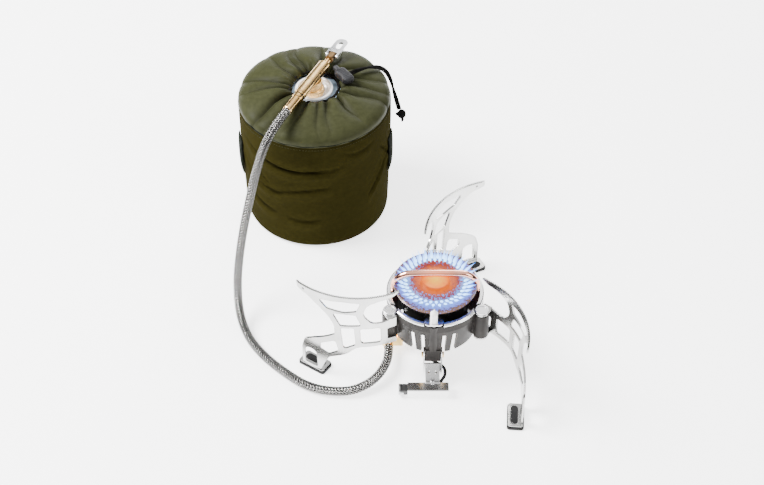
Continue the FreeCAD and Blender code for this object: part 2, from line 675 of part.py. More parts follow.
# ---------------------------------------------------------------- valve (local Z runs along the valve)
def valve():
    near = size("valveNear")
    far = size("valveFar")
    radius = size("valveRadius")
    gap = size("runningGap")
    spindle = size("spindleRadius")
    ferrule = size("ferruleRadius")

    turned("hose_ferrule", [(1.0, -47.0), (ferrule - 0.4, -47.0), (ferrule, -46.4), (ferrule, -30.5),
                            (ferrule + 0.5, -30.2), (ferrule + 0.5, near - 0.9), (2.5, near - 0.9),
                            (2.5, near + 6.5), (1.0, near + 6.5)], "valve")
    turned("swivel_seal", [(2.5, near - 0.9), (4.2, near - 0.9), (4.2, near - 0.2), (2.5, near - 0.2)], "valve", 0.2)

    gasBody = body("valve_body", "valve")
    points = [(2.5 + gap, near), (radius - 0.5, near), (radius - 0.5, near + 2.2), (radius, near + 2.6),
              (radius, far - 1.6), (radius - 1.6, far), (spindle + gap, far), (spindle + gap, 4.0), (1.0, 4.0),
              (1.0, near + 6.6), (2.5 + gap, near + 6.6)]
    spin(gasBody, rounded(points))
    port = sketch(gasBody, "XZ_Plane", circle(0, 0, 1.2), 0.5)
    pocket(gasBody, port, 7.0, up=True)

    collar = body("valve_collar", "canister")
    thread = size("threadRadius") + gap
    wide = size("collarRadius")
    low = 121.4
    high = 133.5
    flange = 126.4
    spin(collar, rounded([(thread, low), (wide, low, 0.4), (wide, flange, 0.5), (wide - 1.4, flange),
                          (wide - 1.4, high, 0.6), (0, high), (0, 129.6), (thread, 129.6)]))
    knurl = sketch(collar, "XY_Plane", circle(wide + 0.25, 0, 0.5), low - 1)
    around(collar, pocket(collar, knurl, 5.0, up=True), 36)
    angle = size("valveAngle")
    saddle = sketch(collar, "XZ_Plane", circle(0, size("valveHeight"), radius))
    saddle.AttachmentOffset = Placement(Vector(0, 0, 0), Rotation(Vector(0, 1, 0), angle + 90))
    pocket(collar, saddle, 12.0)
    pocket(collar, saddle, 12.0, up=True)
    pocket(collar, sketch(collar, "XY_Plane", circle(0, 0, 1.2), low), 14.0, up=True)

    turned("collar_gasket", [(1.8, 128.0), (thread - 0.05, 128.0), (thread - 0.05, 129.6), (1.8, 129.6)], "canister")
    turned("depressor_pin", [(0, 126.4), (0.8, 126.4), (0.8, 130.3), (1.15, 130.3), (1.15, 133.0), (0, 133.0)],
           "canister")

    turned("valve_spindle", [(0, 2.6), (0.9, 4.6), (spindle, 6.0), (spindle, 12.0), (1.9, 12.0), (1.9, 13.6),
                             (spindle, 13.6), (spindle, 27.0), (1.6, 27.0), (1.6, 31.0), (0, 31.0)], "valve")
    turned("spindle_seal", [(1.9, 12.05), (spindle, 12.05), (spindle, 13.55), (1.9, 13.55)], "valve")

    hub = body("handle_hub", "valve")
    pad(hub, sketch(hub, "XY_Plane", circle(0, 0, 3.6) + circle(0, 0, 1.6), 27.0), 1.6)
    pad(hub, sketch(hub, "XY_Plane", box2(-2.6, -2.6, 2.6, 2.6, 0.8) + circle(0, 0, 1.6), 28.6), 2.4)
    pad(hub, sketch(hub, "XY_Plane", box2(-2.6, -2.6, 2.6, 2.6, 0.8), 31.0), 4.2)
    pocket(hub, sketch(hub, "YZ_Plane", circle(0, 33.0, 1.05), -5.0), 10.0, up=True)
    pinBody = body("handle_pin", "valve")
    pad(pinBody, sketch(pinBody, "YZ_Plane", circle(0, 33.0, 1.0), -5.2), 10.4)

    handle = body("valve_handle", "valve")
    half = 5.4
    for x in (-half, half - 1.6):
        cheek = rounded([(-1.9, 31.1, 1.8), (1.9, 31.1, 1.8), (1.9, 38.0), (-1.9, 38.0)])
        pad(handle, sketch(handle, "YZ_Plane", cheek, x), 1.6)
    blade = rounded([(-half, 37.0), (half, 37.0), (half, 56.0, 5.2), (-half, 56.0, 5.2)])
    blade += slotShape(0, 46.5, 10.0, 4.4, 90.0)
    pad(handle, sketch(handle, "XZ_Plane", blade, -1.0), 2.0)
    pocket(handle, sketch(handle, "YZ_Plane", circle(0, 33.0, 1.0), -6.0), 12.0, up=True)


# ---------------------------------------------------------------- canister
def canister():
    radius = size("canisterRadius")
    base = size("canisterBase")
    rim = size("cupRim")
    top = size("cupHeight")
    wall = 0.6
    shell = body("canister_shell", "canister")
    # outer skin up, inner skin down: rolled foot, straight wall, domed shoulder, neck under the cup
    outer = [(0, base + 8.0), (44.0, base + 3.0, 6), (49.0, base, 1), (radius, base + 1.0, 3), (radius, 98.0, 18),
             (40.0, 113.0, 30), (24.0, 118.5, 8), (rim - 1.2, 122.8)]
    inner = [(rim - 1.8, 122.4), (23.6, 117.8, 8), (39.6, 112.4, 30), (radius - wall, 97.6, 18),
             (radius - wall, base + 1.4, 3), (49.2, base + 0.7, 1), (44.2, base + 3.7, 6), (0, base + 8.7)]
    spin(shell, rounded(outer + inner))
    cup = body("mounting_cup", "canister")
    thread = size("threadRadius")
    points = [(rim - 1.8, 122.6), (rim, 123.2, 1), (rim, top, 1.3), (rim - 2.6, top, 1.3), (rim - 3.4, 121.0, 1.5),
              (8.9, 119.6, 1), (thread, 119.9), (thread, 127.6, 0.5), (1.9, 127.6, 0.3), (1.9, 120.5),
              (4.0, 120.5), (4.0, 118.9), (9.2, 118.9), (rim - 2.8, 120.4)]
    spin(cup, rounded(points))
    turned("canister_valve_stem", [(0, 117.0), (3.2, 117.0), (3.2, 118.6), (1.4, 118.6), (1.4, 126.3), (0, 126.3)],
           "canister")
    turned("canister_valve_seal", [(1.6, 118.9), (3.9, 118.9), (3.9, 120.4), (1.6, 120.4)], "canister")
    turned("canister_valve_housing", [(0, 107.0), (4.9, 107.0), (4.9, 118.8), (3.9, 118.8), (3.9, 108.0), (0, 108.0)],
           "canister")
    turned("canister_valve_spring", [(2.3, 108.0), (3.1, 108.0), (3.1, 117.0), (2.3, 117.0)], "canister")


# ---------------------------------------------------------------- cover, cords and cord lock
def cover():
    inner = size("canisterRadius") + 0.7
    wide = size("coverRadius")
    low = size("coverBaseRadius")
    seam = size("seamHeight")
    turned("cover_side", [(0, 0), (low - 1.0, 0, 8), (low + 0.6, 40.0, 90), (wide, 96.0, 60), (wide - 0.5, seam, 1),
                          (inner + 1.0, seam, 1), (inner, 104.0, 4), (inner, 4.6, 2), (0, 4.6)], "canister")
    opening = size("openingRadius")
    turned("cover_top", [(inner + 1.2, seam + 0.1), (wide - 0.6, seam + 0.1, 1), (60.4, 120.8, 5), (46.0, 125.8, 18),
                         (27.0, 129.2, 6), (opening, 128.4, 1.4), (opening, 123.8, 1.4), (30.0, 122.3, 8),
                         (42.0, 120.6, 20), (53.0, 117.0, 6)], "canister")
    cord = body("drawcord", "canister")
    spin(cord, circle(opening - 1.3, 125.4, 1.2))

    lockAngle = 13.0
    lockTurn = Rotation(Vector(0, 0, 1), lockAngle - 68.0)
    lock = body("cord_lock", "canister")
    centre = Vector(*polar(25.6, lockAngle), 0)
    seat = dict(turn=lockTurn, shift=centre + Vector(0, 0, 129.6))
    pad(lock, sketch(lock, "XY_Plane", box2(-9.0, -5.2, 9.0, 5.2, 4.0), **seat), 7.6)
    along = lockTurn.multVec(Vector(-1, 0, 0))
    endOn = Rotation(Vector(0, 0, 1).cross(along), Vector(0, 0, 1), along, "ZYX")
    centre.z = 133.4
    socket = sketch(lock, "XY_Plane", circle(0, 0, 2.6), turn=endOn, shift=centre)
    pocket(lock, socket, 12.0, up=True)
    button = body("cord_lock_button", "canister")
    stem = sketch(button, "XY_Plane", circle(0, 0, 2.5), turn=endOn, shift=centre + along * size("lockTravel"))
    pad(button, stem, 9.6)


tailRoute = [
    (29.3, 8.8, 133.4), (34.0, 12.1, 133.4), (40.0, 16.6, 132.4), (46.8, 21.6, 130.4), (53.6, 26.4, 126.6),
    (59.6, 29.9, 119.6), (63.4, 30.2, 110.6), (65.8, 27.0, 101.8), (68.4, 21.4, 94.8), (70.8, 15.6, 89.6),
]


def straps():
    wide = size("coverRadius")
    made = body("side_straps", "canister")
    edges = []
    for angle in (193.0, 350.0):
        outer = [polar(wide + 1.9, angle + step) for step in (-6.5, 0.0, 6.5)]
        innerArc = [polar(wide + 0.3, angle + step) for step in (6.5, 0.0, -6.5)]
        edges.append(Part.Arc(*[Vector(x, y, 0) for x, y in outer]))
        edges.append(Part.LineSegment(Vector(*outer[2], 0), Vector(*innerArc[0], 0)))
        edges.append(Part.Arc(*[Vector(x, y, 0) for x, y in innerArc]))
        edges.append(Part.LineSegment(Vector(*innerArc[2], 0), Vector(*outer[0], 0)))
    pad(made, sketch(made, "XY_Plane", edges, size("strapBottom")), "Dims.strapLength")


def cordTail():
    tube("drawcord_tail", tailRoute, 2.0, "canister")
    end = Vector(*tailRoute[-1])
    heading = end - Vector(*tailRoute[-2])
    heading.normalize()
    knot = Part.makeSphere(4.6)
    knot.translate(end + heading * 4.6)
    flatEnd = Part.makeCylinder(6.0, 4.0, end - heading * 4.0, heading)
    feature("cord_knot", knot.cut(flatEnd), "canister")


burnerHousing()
rimRing()
burnerInside()
gasInlet()
for side, angle in pivotAngles.items():
    leg(side, angle)
igniter()
tube("gas_hose", hoseRoute, size("hoseRadius"))
valve()
canister()
cover()
straps()
cordTail()

for made, group in pieces:
    bind(made, group)
doc.recompute()

# ---------------------------------------------------------------- checks and export
for item in doc.Objects:
    if "Invalid" in item.State or "Error" in item.State:
        raise RuntimeError(f"{item.Name} failed: {item.State}")
whole = FreeCAD.BoundBox()
for made, group in pieces:
    shape = made.Shape
    if shape.isNull() or not shape.isValid() or not shape.Solids:
        raise RuntimeError(f"{made.Label} has no valid solid")
    if made.Label not in ("gas_hose", "drawcord_tail", "cord_knot"):
        whole.add(shape.BoundBox)
print("box without the hose", whole)

os.makedirs("parts", exist_ok=True)
for made, group in pieces:
    made.Shape.exportStep(f"parts/{made.Label}.step")
print(len(pieces), "sub-parts written")
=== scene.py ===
import json
import math

import bpy
import numpy as np
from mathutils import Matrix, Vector


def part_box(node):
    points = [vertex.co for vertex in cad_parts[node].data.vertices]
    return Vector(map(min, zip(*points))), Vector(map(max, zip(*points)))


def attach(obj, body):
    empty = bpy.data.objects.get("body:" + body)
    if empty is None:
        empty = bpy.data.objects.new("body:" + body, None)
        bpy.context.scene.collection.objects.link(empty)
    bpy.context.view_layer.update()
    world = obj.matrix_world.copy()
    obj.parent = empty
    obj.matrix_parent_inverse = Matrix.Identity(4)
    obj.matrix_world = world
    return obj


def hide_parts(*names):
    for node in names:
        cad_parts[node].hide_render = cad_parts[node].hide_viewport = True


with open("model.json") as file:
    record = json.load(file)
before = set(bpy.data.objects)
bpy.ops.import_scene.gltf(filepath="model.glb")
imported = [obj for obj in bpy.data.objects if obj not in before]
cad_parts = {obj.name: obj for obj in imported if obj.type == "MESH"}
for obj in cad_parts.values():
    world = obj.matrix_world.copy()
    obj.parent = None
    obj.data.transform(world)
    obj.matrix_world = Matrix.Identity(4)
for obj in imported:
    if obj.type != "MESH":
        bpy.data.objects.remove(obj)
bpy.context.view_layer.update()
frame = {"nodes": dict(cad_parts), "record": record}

nodes = frame["nodes"]
mm = 0.001


def middle(node):
    # centre of a CAD node's box
    low, high = (np.array(c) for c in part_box(node))
    return (low + high) / 2


canisterAxis = middle("canister_shell")[:2]
burnerAxis = middle("burner_cup")[:2]


# camera


cameraView = {"place": (0.0054, -0.9988, 1.0081), "tilt": 46.0, "lens": 80.0, "sensor": 36.0}


def makeCamera():
    data = bpy.data.cameras.new("stoveCamera")
    data.lens = cameraView["lens"]
    data.sensor_width = cameraView["sensor"]
    camera = bpy.data.objects.new("stoveCamera", data)
    camera.location = cameraView["place"]
    camera.rotation_euler = (math.radians(cameraView["tilt"]), 0, 0)
    bpy.context.collection.objects.link(camera)
    bpy.context.scene.camera = camera


makeCamera()
print("camera set")


# helpers that every piece uses


def addObject(name, data, body):
    piece = bpy.data.objects.new(name, data)
    bpy.context.collection.objects.link(piece)
    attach(piece, body)
    return piece


def meshPiece(name, verts, faces, body, uvs=None, creaseShade=None):
    # verts is (n, 3), faces corner indices, uvs (n, 2) and the painted crease shade (n), one value per vertex
    mesh = bpy.data.meshes.new(name)
    faceList = faces if isinstance(faces, list) else faces.tolist()
    mesh.from_pydata(np.asarray(verts, dtype=float).tolist(), [], faceList)
    if uvs is not None:
        corners = np.empty(len(mesh.loops), dtype=np.int32)
        mesh.loops.foreach_get("vertex_index", corners)
        layer = mesh.uv_layers.new(name="cloth")
        layer.data.foreach_set("uv", np.asarray(uvs)[corners].astype(np.float32).ravel())
    if creaseShade is not None:
        depths = mesh.attributes.new("creaseShade", "FLOAT", "POINT")
        depths.data.foreach_set("value", np.asarray(creaseShade, dtype=np.float32).ravel())
    mesh.polygons.foreach_set("use_smooth", np.full(len(mesh.polygons), True))
    mesh.update()
    return addObject(name, mesh, body)


def gridFaces(rows, columns, closeRows=False, closeColumns=False, start=0):
    # quads between neighbours of a rows x columns grid, wrapping where it is closed
    i = np.arange(rows if closeRows else rows - 1)[:, None]
    j = np.arange(columns if closeColumns else columns - 1)[None, :]
    a = i * columns + j
    b = i * columns + (j + 1) % columns
    c = ((i + 1) % rows) * columns + (j + 1) % columns
    d = ((i + 1) % rows) * columns + j
    return np.stack([a, b, c, d], -1).reshape(-1, 4) + start


def endCaps(start, last, sides):
    # flat ends of a tube whose first and last rings begin at these corners
    return [list(range(start, start + sides))[::-1], list(range(last, last + sides))]


def poleFans(rows, columns):
    # triangles from a grid's first and last rings to two poles, which come after its corners
    first, top = rows * columns, (rows - 1) * columns
    pairs = [(j, (j + 1) % columns) for j in range(columns)]
    return [[first, b, a] for a, b in pairs] + [[first + 1, top + a, top + b] for a, b in pairs]


def ramp(value, start, over):
    # 0 up to start, then straight up to 1 over the given length
    return np.clip((value - start) / over, 0, 1)


def smoothLine(points, count):
    # uniform cubic B-spline that follows the points, its ends held by tripled ones
    p = np.asarray(points, dtype=float)
    p = np.vstack([p[:1], p[:1], p, p[-1:], p[-1:]])
    t = np.linspace(0, len(p) - 3 - 1e-9, count)
    k = t.astype(int)
    f = (t - k)[:, None]
    weights = [(1 - f) ** 3, 3 * f**3 - 6 * f**2 + 4, -3 * f**3 + 3 * f**2 + 3 * f + 1, f**3]
    return sum(w * p[k + n] for n, w in enumerate(weights)) / 6


def pathFrames(path):
    # tangent by central difference, and a normal carried along so that it never twists
    tangent = np.gradient(path, axis=0)
    tangent /= np.linalg.norm(tangent, axis=1, keepdims=True)
    normal = np.empty_like(path)
    anyWay = (0.3, 0.2, 0.9)  # only has to differ from the path's first direction
    side = np.cross(tangent[0], anyWay)
    for k in range(len(path)):
        side = side - tangent[k] * (side @ tangent[k])
        side /= np.linalg.norm(side)
        normal[k] = side
    return tangent, normal, np.cross(tangent, normal)


def resample(path, count):
    # the same line at equal steps of its own length
    run = np.r_[0, np.cumsum(np.linalg.norm(np.diff(path, axis=0), axis=1))]
    want = np.linspace(0, run[-1], count)
    return np.stack([np.interp(want, run, path[:, axis]) for axis in range(3)], -1), run[-1]


# the box of a curve takes in its points' radii, so they are small and the bevel is scaled to match
cordCurve = {"pointRadius": 0.004, "steps": 12, "round": 5, "order": 3}


def routeCurve(name, route, radius):
    data = bpy.data.curves.new(name, "CURVE")
    data.dimensions = "3D"
    data.resolution_u = cordCurve["steps"]
    spline = data.splines.new("NURBS")
    spline.points.add(len(route) - 1)
    flat = np.c_[np.array(route) * mm, np.ones(len(route))]
    spline.points.foreach_set("co", flat.ravel())
    spline.points.foreach_set("radius", np.full(len(route), cordCurve["pointRadius"]))
    spline.order_u = cordCurve["order"]
    spline.use_endpoint_u = True
    data.use_fill_caps = True
    data.bevel_resolution = cordCurve["round"]
    data.bevel_depth = radius * mm / cordCurve["pointRadius"]
    return data


def splineLine(data):
    # the spline's own centreline as points, read with its thickness off
    thick = data.bevel_depth
    data.bevel_depth = 0
    holder = bpy.data.objects.new("line", data)
    line = bpy.data.meshes.new_from_object(holder)
    points = np.empty(len(line.vertices) * 3)
    line.vertices.foreach_get("co", points)
    bpy.data.objects.remove(holder)
    bpy.data.meshes.remove(line)
    data.bevel_depth = thick
    return points.reshape(-1, 3)


# gas hose: a rubber core under a braid of flat strands, in mm


hose = {"radius": 3.7, "core": 3.1, "strands": 8, "pitch": 20.0, "lift": 0.24, "wide": 1.1, "thick": 0.16,
        "samples": 930}
hoseRoute = [
    (-71.1, 56.8, 136.0), (-79.5, 39.3, 135.8), (-87.9, 21.7, 129.5), (-94.3, 7.1, 115.0),
    (-99.9, -1.9, 94.0), (-105.2, -9.4, 72.0), (-109.6, -18.4, 49.0), (-112.2, -30.9, 27.0),
    (-110.2, -48.4, 10.5), (-102.8, -67.9, 4.2), (-90.8, -86.4, 3.8), (-73.8, -104.4, 3.8),
    (-50.8, -123.1, 3.8), (-24.8, -127.9, 4.6), (-9.4, -123.8, 6.2), (1.4, -115.4, 8.2),
    (7.8, -105.2, 9.8), (10.6, -95.0, 10.5), (10.6, -85.4, 10.5),
]


def makeHose():
    # strand k of n at run s: angle 2 pi (k/n + s/pitch), or minus s/pitch the other way round, and a
    # radius that is a cosine of its crossings, so that it rides over two strands and under two
    data = routeCurve("hoseCore", hoseRoute, hose["core"])
    samples, strands = hose["samples"], hose["strands"]
    path, length = resample(splineLine(data), samples)
    tangent, normal, side = pathFrames(path)
    s = np.linspace(0, length, samples)[None, :]
    k = np.arange(strands)[:, None]
    turns = s / (hose["pitch"] * mm)
    meet = 2 * strands * turns
    lean = math.atan2(2 * math.pi * hose["radius"], hose["pitch"])
    wide, thick = hose["wide"] / 2 * mm, hose["thick"] * mm
    verts, faces, uvs = [], [], []
    for way in (1, -1):
        angle = 2 * np.pi * (k / strands + way * turns)
        wave = way * np.cos(np.pi / 2 * (2 * k + way * meet) - np.pi / 4)
        radius = (hose["radius"] - hose["lift"] - hose["thick"] + hose["lift"] * wave) * mm
        radial = np.cos(angle)[..., None] * normal + np.sin(angle)[..., None] * side
        around = -np.sin(angle)[..., None] * normal + np.cos(angle)[..., None] * side
        across = around * math.cos(lean) - way * tangent[None] * math.sin(lean)
        centre = path[None] + radial * radius[..., None]
        ring = [across * wide, radial * thick, -across * wide, -radial * thick]
        if way < 0:
            ring = ring[::-1]
        tube = centre[:, :, None, :] + np.stack(ring, 2)
        # u runs across a strand, from 1 at one edge by 0.5 on its faces to 0 at the other
        across01 = np.array([1.0, 0.5, 0.0, 0.5])[None, None, :] + 0 * angle[..., None]
        along = np.broadcast_to(s[..., None], across01.shape)
        for strand in range(strands):
            start = sum(len(v) for v in verts)
            verts.append(tube[strand].reshape(-1, 3))
            uvs.append(np.stack([across01[strand], along[strand]], -1).reshape(-1, 2))
            faces += gridFaces(samples, 4, closeColumns=True, start=start)[:, ::-1].tolist()
            faces += [cap[::-1] for cap in endCaps(start, start + 4 * (samples - 1), 4)]
    core = addObject("hoseCore", data, "burner")
    braid = meshPiece("hoseBraid", np.concatenate(verts), faces, "burner",
                      np.concatenate(uvs))
    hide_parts("gas_hose")
    return core, braid, length


hoseCore, hoseBraid, hoseLength = makeHose()
print(f"hose braided, {hoseLength:.3f} m")


# drawcord tail: two ribbed strands twisted slowly round one route, in mm from the canister's axis


tail = {"strand": 0.98, "offset": 0.95, "twist": 60.0, "start": 0.6, "rib": 0.07, "ribPitch": 1.5,
        "samples": 240}
tailRoute = [
    (29.3, 8.8, 133.4), (34.0, 12.1, 133.4), (40.0, 16.6, 132.4), (46.8, 21.6, 130.4), (53.6, 26.4, 126.6),
    (59.6, 29.9, 119.6), (63.4, 30.2, 110.6), (65.8, 27.0, 101.8), (68.4, 21.4, 94.8), (70.8, 15.6, 89.6),
]


def ribbedTube(path, radius, rib, ribPitch, sides=10):
    # circle swept along the path, its radius swelling on two sides once every rib pitch
    tangent, normal, side = pathFrames(path)
    run = np.r_[0, np.cumsum(np.linalg.norm(np.diff(path, axis=0), axis=1))]
    angle = np.linspace(0, 2 * np.pi, sides, endpoint=False)
    swell = 1 + rib * np.sin(2 * np.pi * run / ribPitch)[:, None] * np.cos(angle * 2)[None, :]
    ring = np.cos(angle)[None, :, None] * normal[:, None] + np.sin(angle)[None, :, None] * side[:, None]
    verts = (path[:, None] + ring * (radius * swell)[..., None]).reshape(-1, 3)
    uvs = np.stack(np.broadcast_arrays(angle[None, :] * radius, run[:, None]), -1).reshape(-1, 2)
    faces = gridFaces(len(path), sides, closeColumns=True).tolist()
    faces += endCaps(0, len(verts) - sides, sides)
    return verts, faces, uvs


def joinTubes(tubes):
    verts, faces, uvs = [], [], []
    for tubeVerts, tubeFaces, tubeUvs in tubes:
        start = sum(len(v) for v in verts)
        verts.append(tubeVerts)
        uvs.append(tubeUvs)
        faces += [[corner + start for corner in face] for face in tubeFaces]
    return np.concatenate(verts), faces, np.concatenate(uvs)


def makeTail():
    # two strands half a turn apart, each the route plus offset (cos, sin) of 2 pi run / twist
    route = [(x + canisterAxis[0] / mm, y + canisterAxis[1] / mm, z) for x, y, z in tailRoute]
    data = routeCurve("tailLine", route, tail["strand"])
    path, length = resample(splineLine(data), tail["samples"])
    tangent, normal, side = pathFrames(path)
    run = np.linspace(0, length, len(path))
    strands = []
    for phase in (0, np.pi):
        turn = (2 * np.pi * run / (tail["twist"] * mm) + phase + tail["start"])[:, None]
        centre = path + (np.cos(turn) * normal + np.sin(turn) * side) * tail["offset"] * mm
        strands.append(ribbedTube(centre, tail["strand"] * mm, tail["rib"], tail["ribPitch"] * mm))
    verts, faces, uvs = joinTubes(strands)
    piece = meshPiece("drawcordTail", verts, faces, "canister", uvs)
    return piece, path, length


tailPiece, tailPath, tailLength = makeTail()


knot = {"size": 1.05, "rise": 1.3, "samples": 160, "strand": 1.25, "ahead": 4.0, "rib": 0.06, "ribPitch": 1.5,
        "endStrand": 0.9, "endFrom": 2.6, "endLong": 3.4, "endSpreads": (-0.35, 0.3),
        "endAcross": (0.3, -0.2, 1.0), "endSamples": 14}


def makeKnot():
    # closed line ((2 + cos 2t) cos 3t, (2 + cos 2t) sin 3t, rise sin 4t), so thick that its turns press
    # together, with two short straight ends beyond it
    t = np.linspace(0, 2 * np.pi, knot["samples"])
    swing = 2 + np.cos(2 * t)
    line = np.stack([swing * np.cos(3 * t), swing * np.sin(3 * t), knot["rise"] * np.sin(4 * t)], -1)
    line = line * (knot["size"] * mm)
    heading = tailPath[-1] - tailPath[-4]
    heading /= np.linalg.norm(heading)
    centre = tailPath[-1] + heading * knot["ahead"] * mm
    ribPitch = knot["ribPitch"] * mm
    tubes = [ribbedTube(line + centre, knot["strand"] * mm, knot["rib"], ribPitch)]
    for spread in knot["endSpreads"]:
        start = centre + heading * knot["endFrom"] * mm
        away = heading + spread * np.array(knot["endAcross"])
        steps = np.linspace(0, 1, knot["endSamples"])[:, None]
        end = start + away * steps * knot["endLong"] * mm
        tubes.append(ribbedTube(end, knot["endStrand"] * mm, knot["rib"], ribPitch))
    verts, faces, uvs = joinTubes(tubes)
    piece = meshPiece("cordKnot", verts, faces, "canister", uvs)
    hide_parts("cord_knot")
    return piece


knotPiece = makeKnot()
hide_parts("drawcord_tail")
print(f"drawcord tail, {tailLength:.3f} m")


# fabric cover, in mm from the canister's axis


def wrapAngle(angle):
    # the same angle between -pi and pi
    return (angle + np.pi) % (2 * np.pi) - np.pi


def aroundCanister(radius, height, angle):
    return np.stack([canisterAxis[0] + radius * np.cos(angle), canisterAxis[1] + radius * np.sin(angle),
                     height + 0 * angle], -1)


# the wall is free to crease outside freeFrom and between the base and the seam, over the lengths named
sideWall = {"columns": 420, "rows": 150, "wall": 1.6, "freeFrom": 56, "freeOver": 5, "baseOver": 12,
            "seam": 116.4, "seamOver": 6, "slack": 0.9, "slackReach": 90.0, "liningFrom": 61.5,
            "liningMost": 57.8, "clothRadius": 62, "pole": 1.0, "shadeDepth": 2.2}
crease = {"strength": 1.5, "fade": 0.8, "roll": 0.55, "below": 4.5, "belowWide": 5.0, "above": 4.0,
          "aboveWide": 3.5, "aboveShare": 0.5}
sideOutline = [(0, 0.0), (40, 0.0), (54, 0.0), (58.8, 0.8), (60.8, 4.0), (61.2, 9.0), (61.4, 20), (61.9, 38),
               (62.5, 58), (63.1, 80), (63.5, 100), (63.4, 110), (62.8, 114.0), (61.4, 115.6), (59.4, 114.9)]
sideCreases = [
    # start and end angle in degrees, height at start, middle and end, depth and width in mm
    (206, 284, 100, 86, 90, 2.0, 2.0), (258, 296, 92, 86, 92, 0.7, 2.0), (198, 246, 84, 62, 58, 2.3, 1.8),
    (238, 286, 57, 65, 69, 1.1, 1.8), (214, 236, 78, 70, 62, 1.2, 1.6), (316, 342, 44, 62, 82, 2.5, 2.0),
    (328, 352, 92, 76, 60, 1.4, 1.9), (246, 276, 33, 30, 33, 1.0, 2.4), (20, 80, 74, 66, 72, 2.0, 2.4),
    (90, 150, 84, 78, 64, 2.1, 2.5), (60, 110, 40, 46, 42, 1.5, 2.6), (150, 190, 66, 56, 52, 2.0, 2.2),
    (292, 322, 104, 99, 103, 0.7, 2.2), (0, 30, 46, 52, 62, 1.6, 2.4), (205, 240, 44, 36, 34, 1.3, 2.4),
]


def creaseDepth(angle, height):
    # each crease is a parabola in angle: a narrow groove with a broad soft roll on either side
    total = np.zeros_like(height)
    for start, end, z0, z1, z2, depth, width in sideCreases:
        share = wrapAngle(angle - math.radians((start + end) / 2)) / math.radians((end - start) / 2)
        line = z1 + (z2 - z0) / 2 * share + ((z0 + z2) / 2 - z1) * share**2
        fade = np.clip(1 - share**2, 0, None) ** crease["fade"]
        away = height - line
        groove = np.exp(-((away / width) ** 2))
        below = np.exp(-(((away + crease["below"]) / crease["belowWide"]) ** 2))
        above = np.exp(-(((away - crease["above"]) / crease["aboveWide"]) ** 2))
        roll = below + crease["aboveShare"] * above
        total += crease["strength"] * fade * depth * (crease["roll"] * roll - groove)
    return total


def softNoise(angle, height, seed, waves, reach):
    # sum of slow waves round and up the wall with seeded phases, each weaker than the one before
    local = np.random.default_rng(seed)
    total = np.zeros_like(height)
    for n in range(waves):
        turns = local.integers(1, 7)
        climb = local.uniform(-1, 1) * 2 * np.pi / reach
        total += np.sin(turns * angle + climb * height + local.uniform(0, 6.3)) / (1 + 0.3 * n)
    return total / waves


def makeSide():
    # outline turned round the axis and pushed out by creases and slack, then the lining back inside it
    wall = sideWall["wall"]
    outline = smoothLine(sideOutline, sideWall["rows"])
    angle = np.linspace(0, 2 * np.pi, sideWall["columns"], endpoint=False)[None, :]
    radius = outline[1:, 0][:, None] + 0 * angle
    height = outline[1:, 1][:, None] + 0 * angle
    free = ramp(radius, sideWall["freeFrom"], sideWall["freeOver"]) * ramp(height, 0, sideWall["baseOver"])
    free = free * ramp(sideWall["seam"] - height, 0, sideWall["seamOver"])
    slack = sideWall["slack"] * softNoise(angle, height, 3, 6, sideWall["slackReach"])
    push = creaseDepth(angle, height) + slack
    outerRadius = radius + free * push
    # the lining ends in one point over the base
    innerRadius = np.minimum(outerRadius[::-1], sideWall["liningFrom"]) - wall * 2
    innerRadius = np.minimum(innerRadius, sideWall["liningMost"])
    innerHeight = np.maximum(height[::-1], wall)
    loopRadius = np.vstack([outerRadius, innerRadius])
    loopHeight = np.vstack([height, innerHeight])
    keep = loopRadius[:, 0] > sideWall["pole"]
    loopRadius, loopHeight = loopRadius[keep] * mm, loopHeight[keep] * mm
    ring = aroundCanister(loopRadius, loopHeight, angle + 0 * loopRadius)
    run = np.r_[0, np.cumsum(np.hypot(np.diff(loopRadius[:, 0]), np.diff(loopHeight[:, 0])))]
    cloth = np.stack(np.broadcast_arrays(angle * sideWall["clothRadius"] * mm, run[:, None]), -1)
    poles = np.array([[*canisterAxis, 0.0], [*canisterAxis, wall * mm]])
    faces = gridFaces(*loopRadius.shape, closeColumns=True).tolist() + poleFans(*loopRadius.shape)
    # painted shade: how far each point of the wall is pushed in, kept per vertex to darken its creases
    paintedShade = np.vstack([free * push, 0 * innerRadius])[keep] / sideWall["shadeDepth"]
    piece = meshPiece("coverSide", np.vstack([ring.reshape(-1, 3), poles]), faces, "canister",
                      np.vstack([cloth.reshape(-1, 2), [[0, 0], [0, 0]]]),
                      np.r_[paintedShade.ravel(), 0, 0])
    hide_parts("cover_side")
    return piece


coverSide = makeSide()
print("cover side made")


topSheet = {"columns": 960, "rows": 100, "thick": 0.7, "folds": 17, "depth": 7.4, "puff": 0.42, "rise": 9,
            "weak": 0.55, "gain": 0.45, "slack": 1.3, "slackRise": 6, "slackReach": 40.0, "highest": 2.8,
            "hemFrom": 0.84, "hemOver": 0.14, "hemFlat": 0.65, "shift": 1.6, "shiftFrom": 0.65,
            "shiftOver": 0.35, "clothRadius": 45, "shadeLift": 0.25}
# each set: folds in units of topSheet's, their depth, and the nearest and farthest reach from the opening
gather = {"sets": ((1, 1.0, 0.8, 1.5), (2, 0.35, 0.2, 0.5)), "scatter": 0.3, "depths": (0.6, 1.2),
          "lean": 0.22, "sway": 0.05, "swayTurns": 6, "opening": 21, "toSeam": 41, "narrow": 1.5,
          "spread": 4.5, "blunt": 0.12, "fade": 0.75}
topOutline = [(62.6, 113.4), (62.9, 115.4), (62.5, 117.6), (61.0, 120.4), (57.5, 122.9), (51, 125.0), (43, 127.0),
              (34, 129.0), (28, 129.9), (24.0, 129.6), (21.2, 127.9), (19.6, 125.6)]


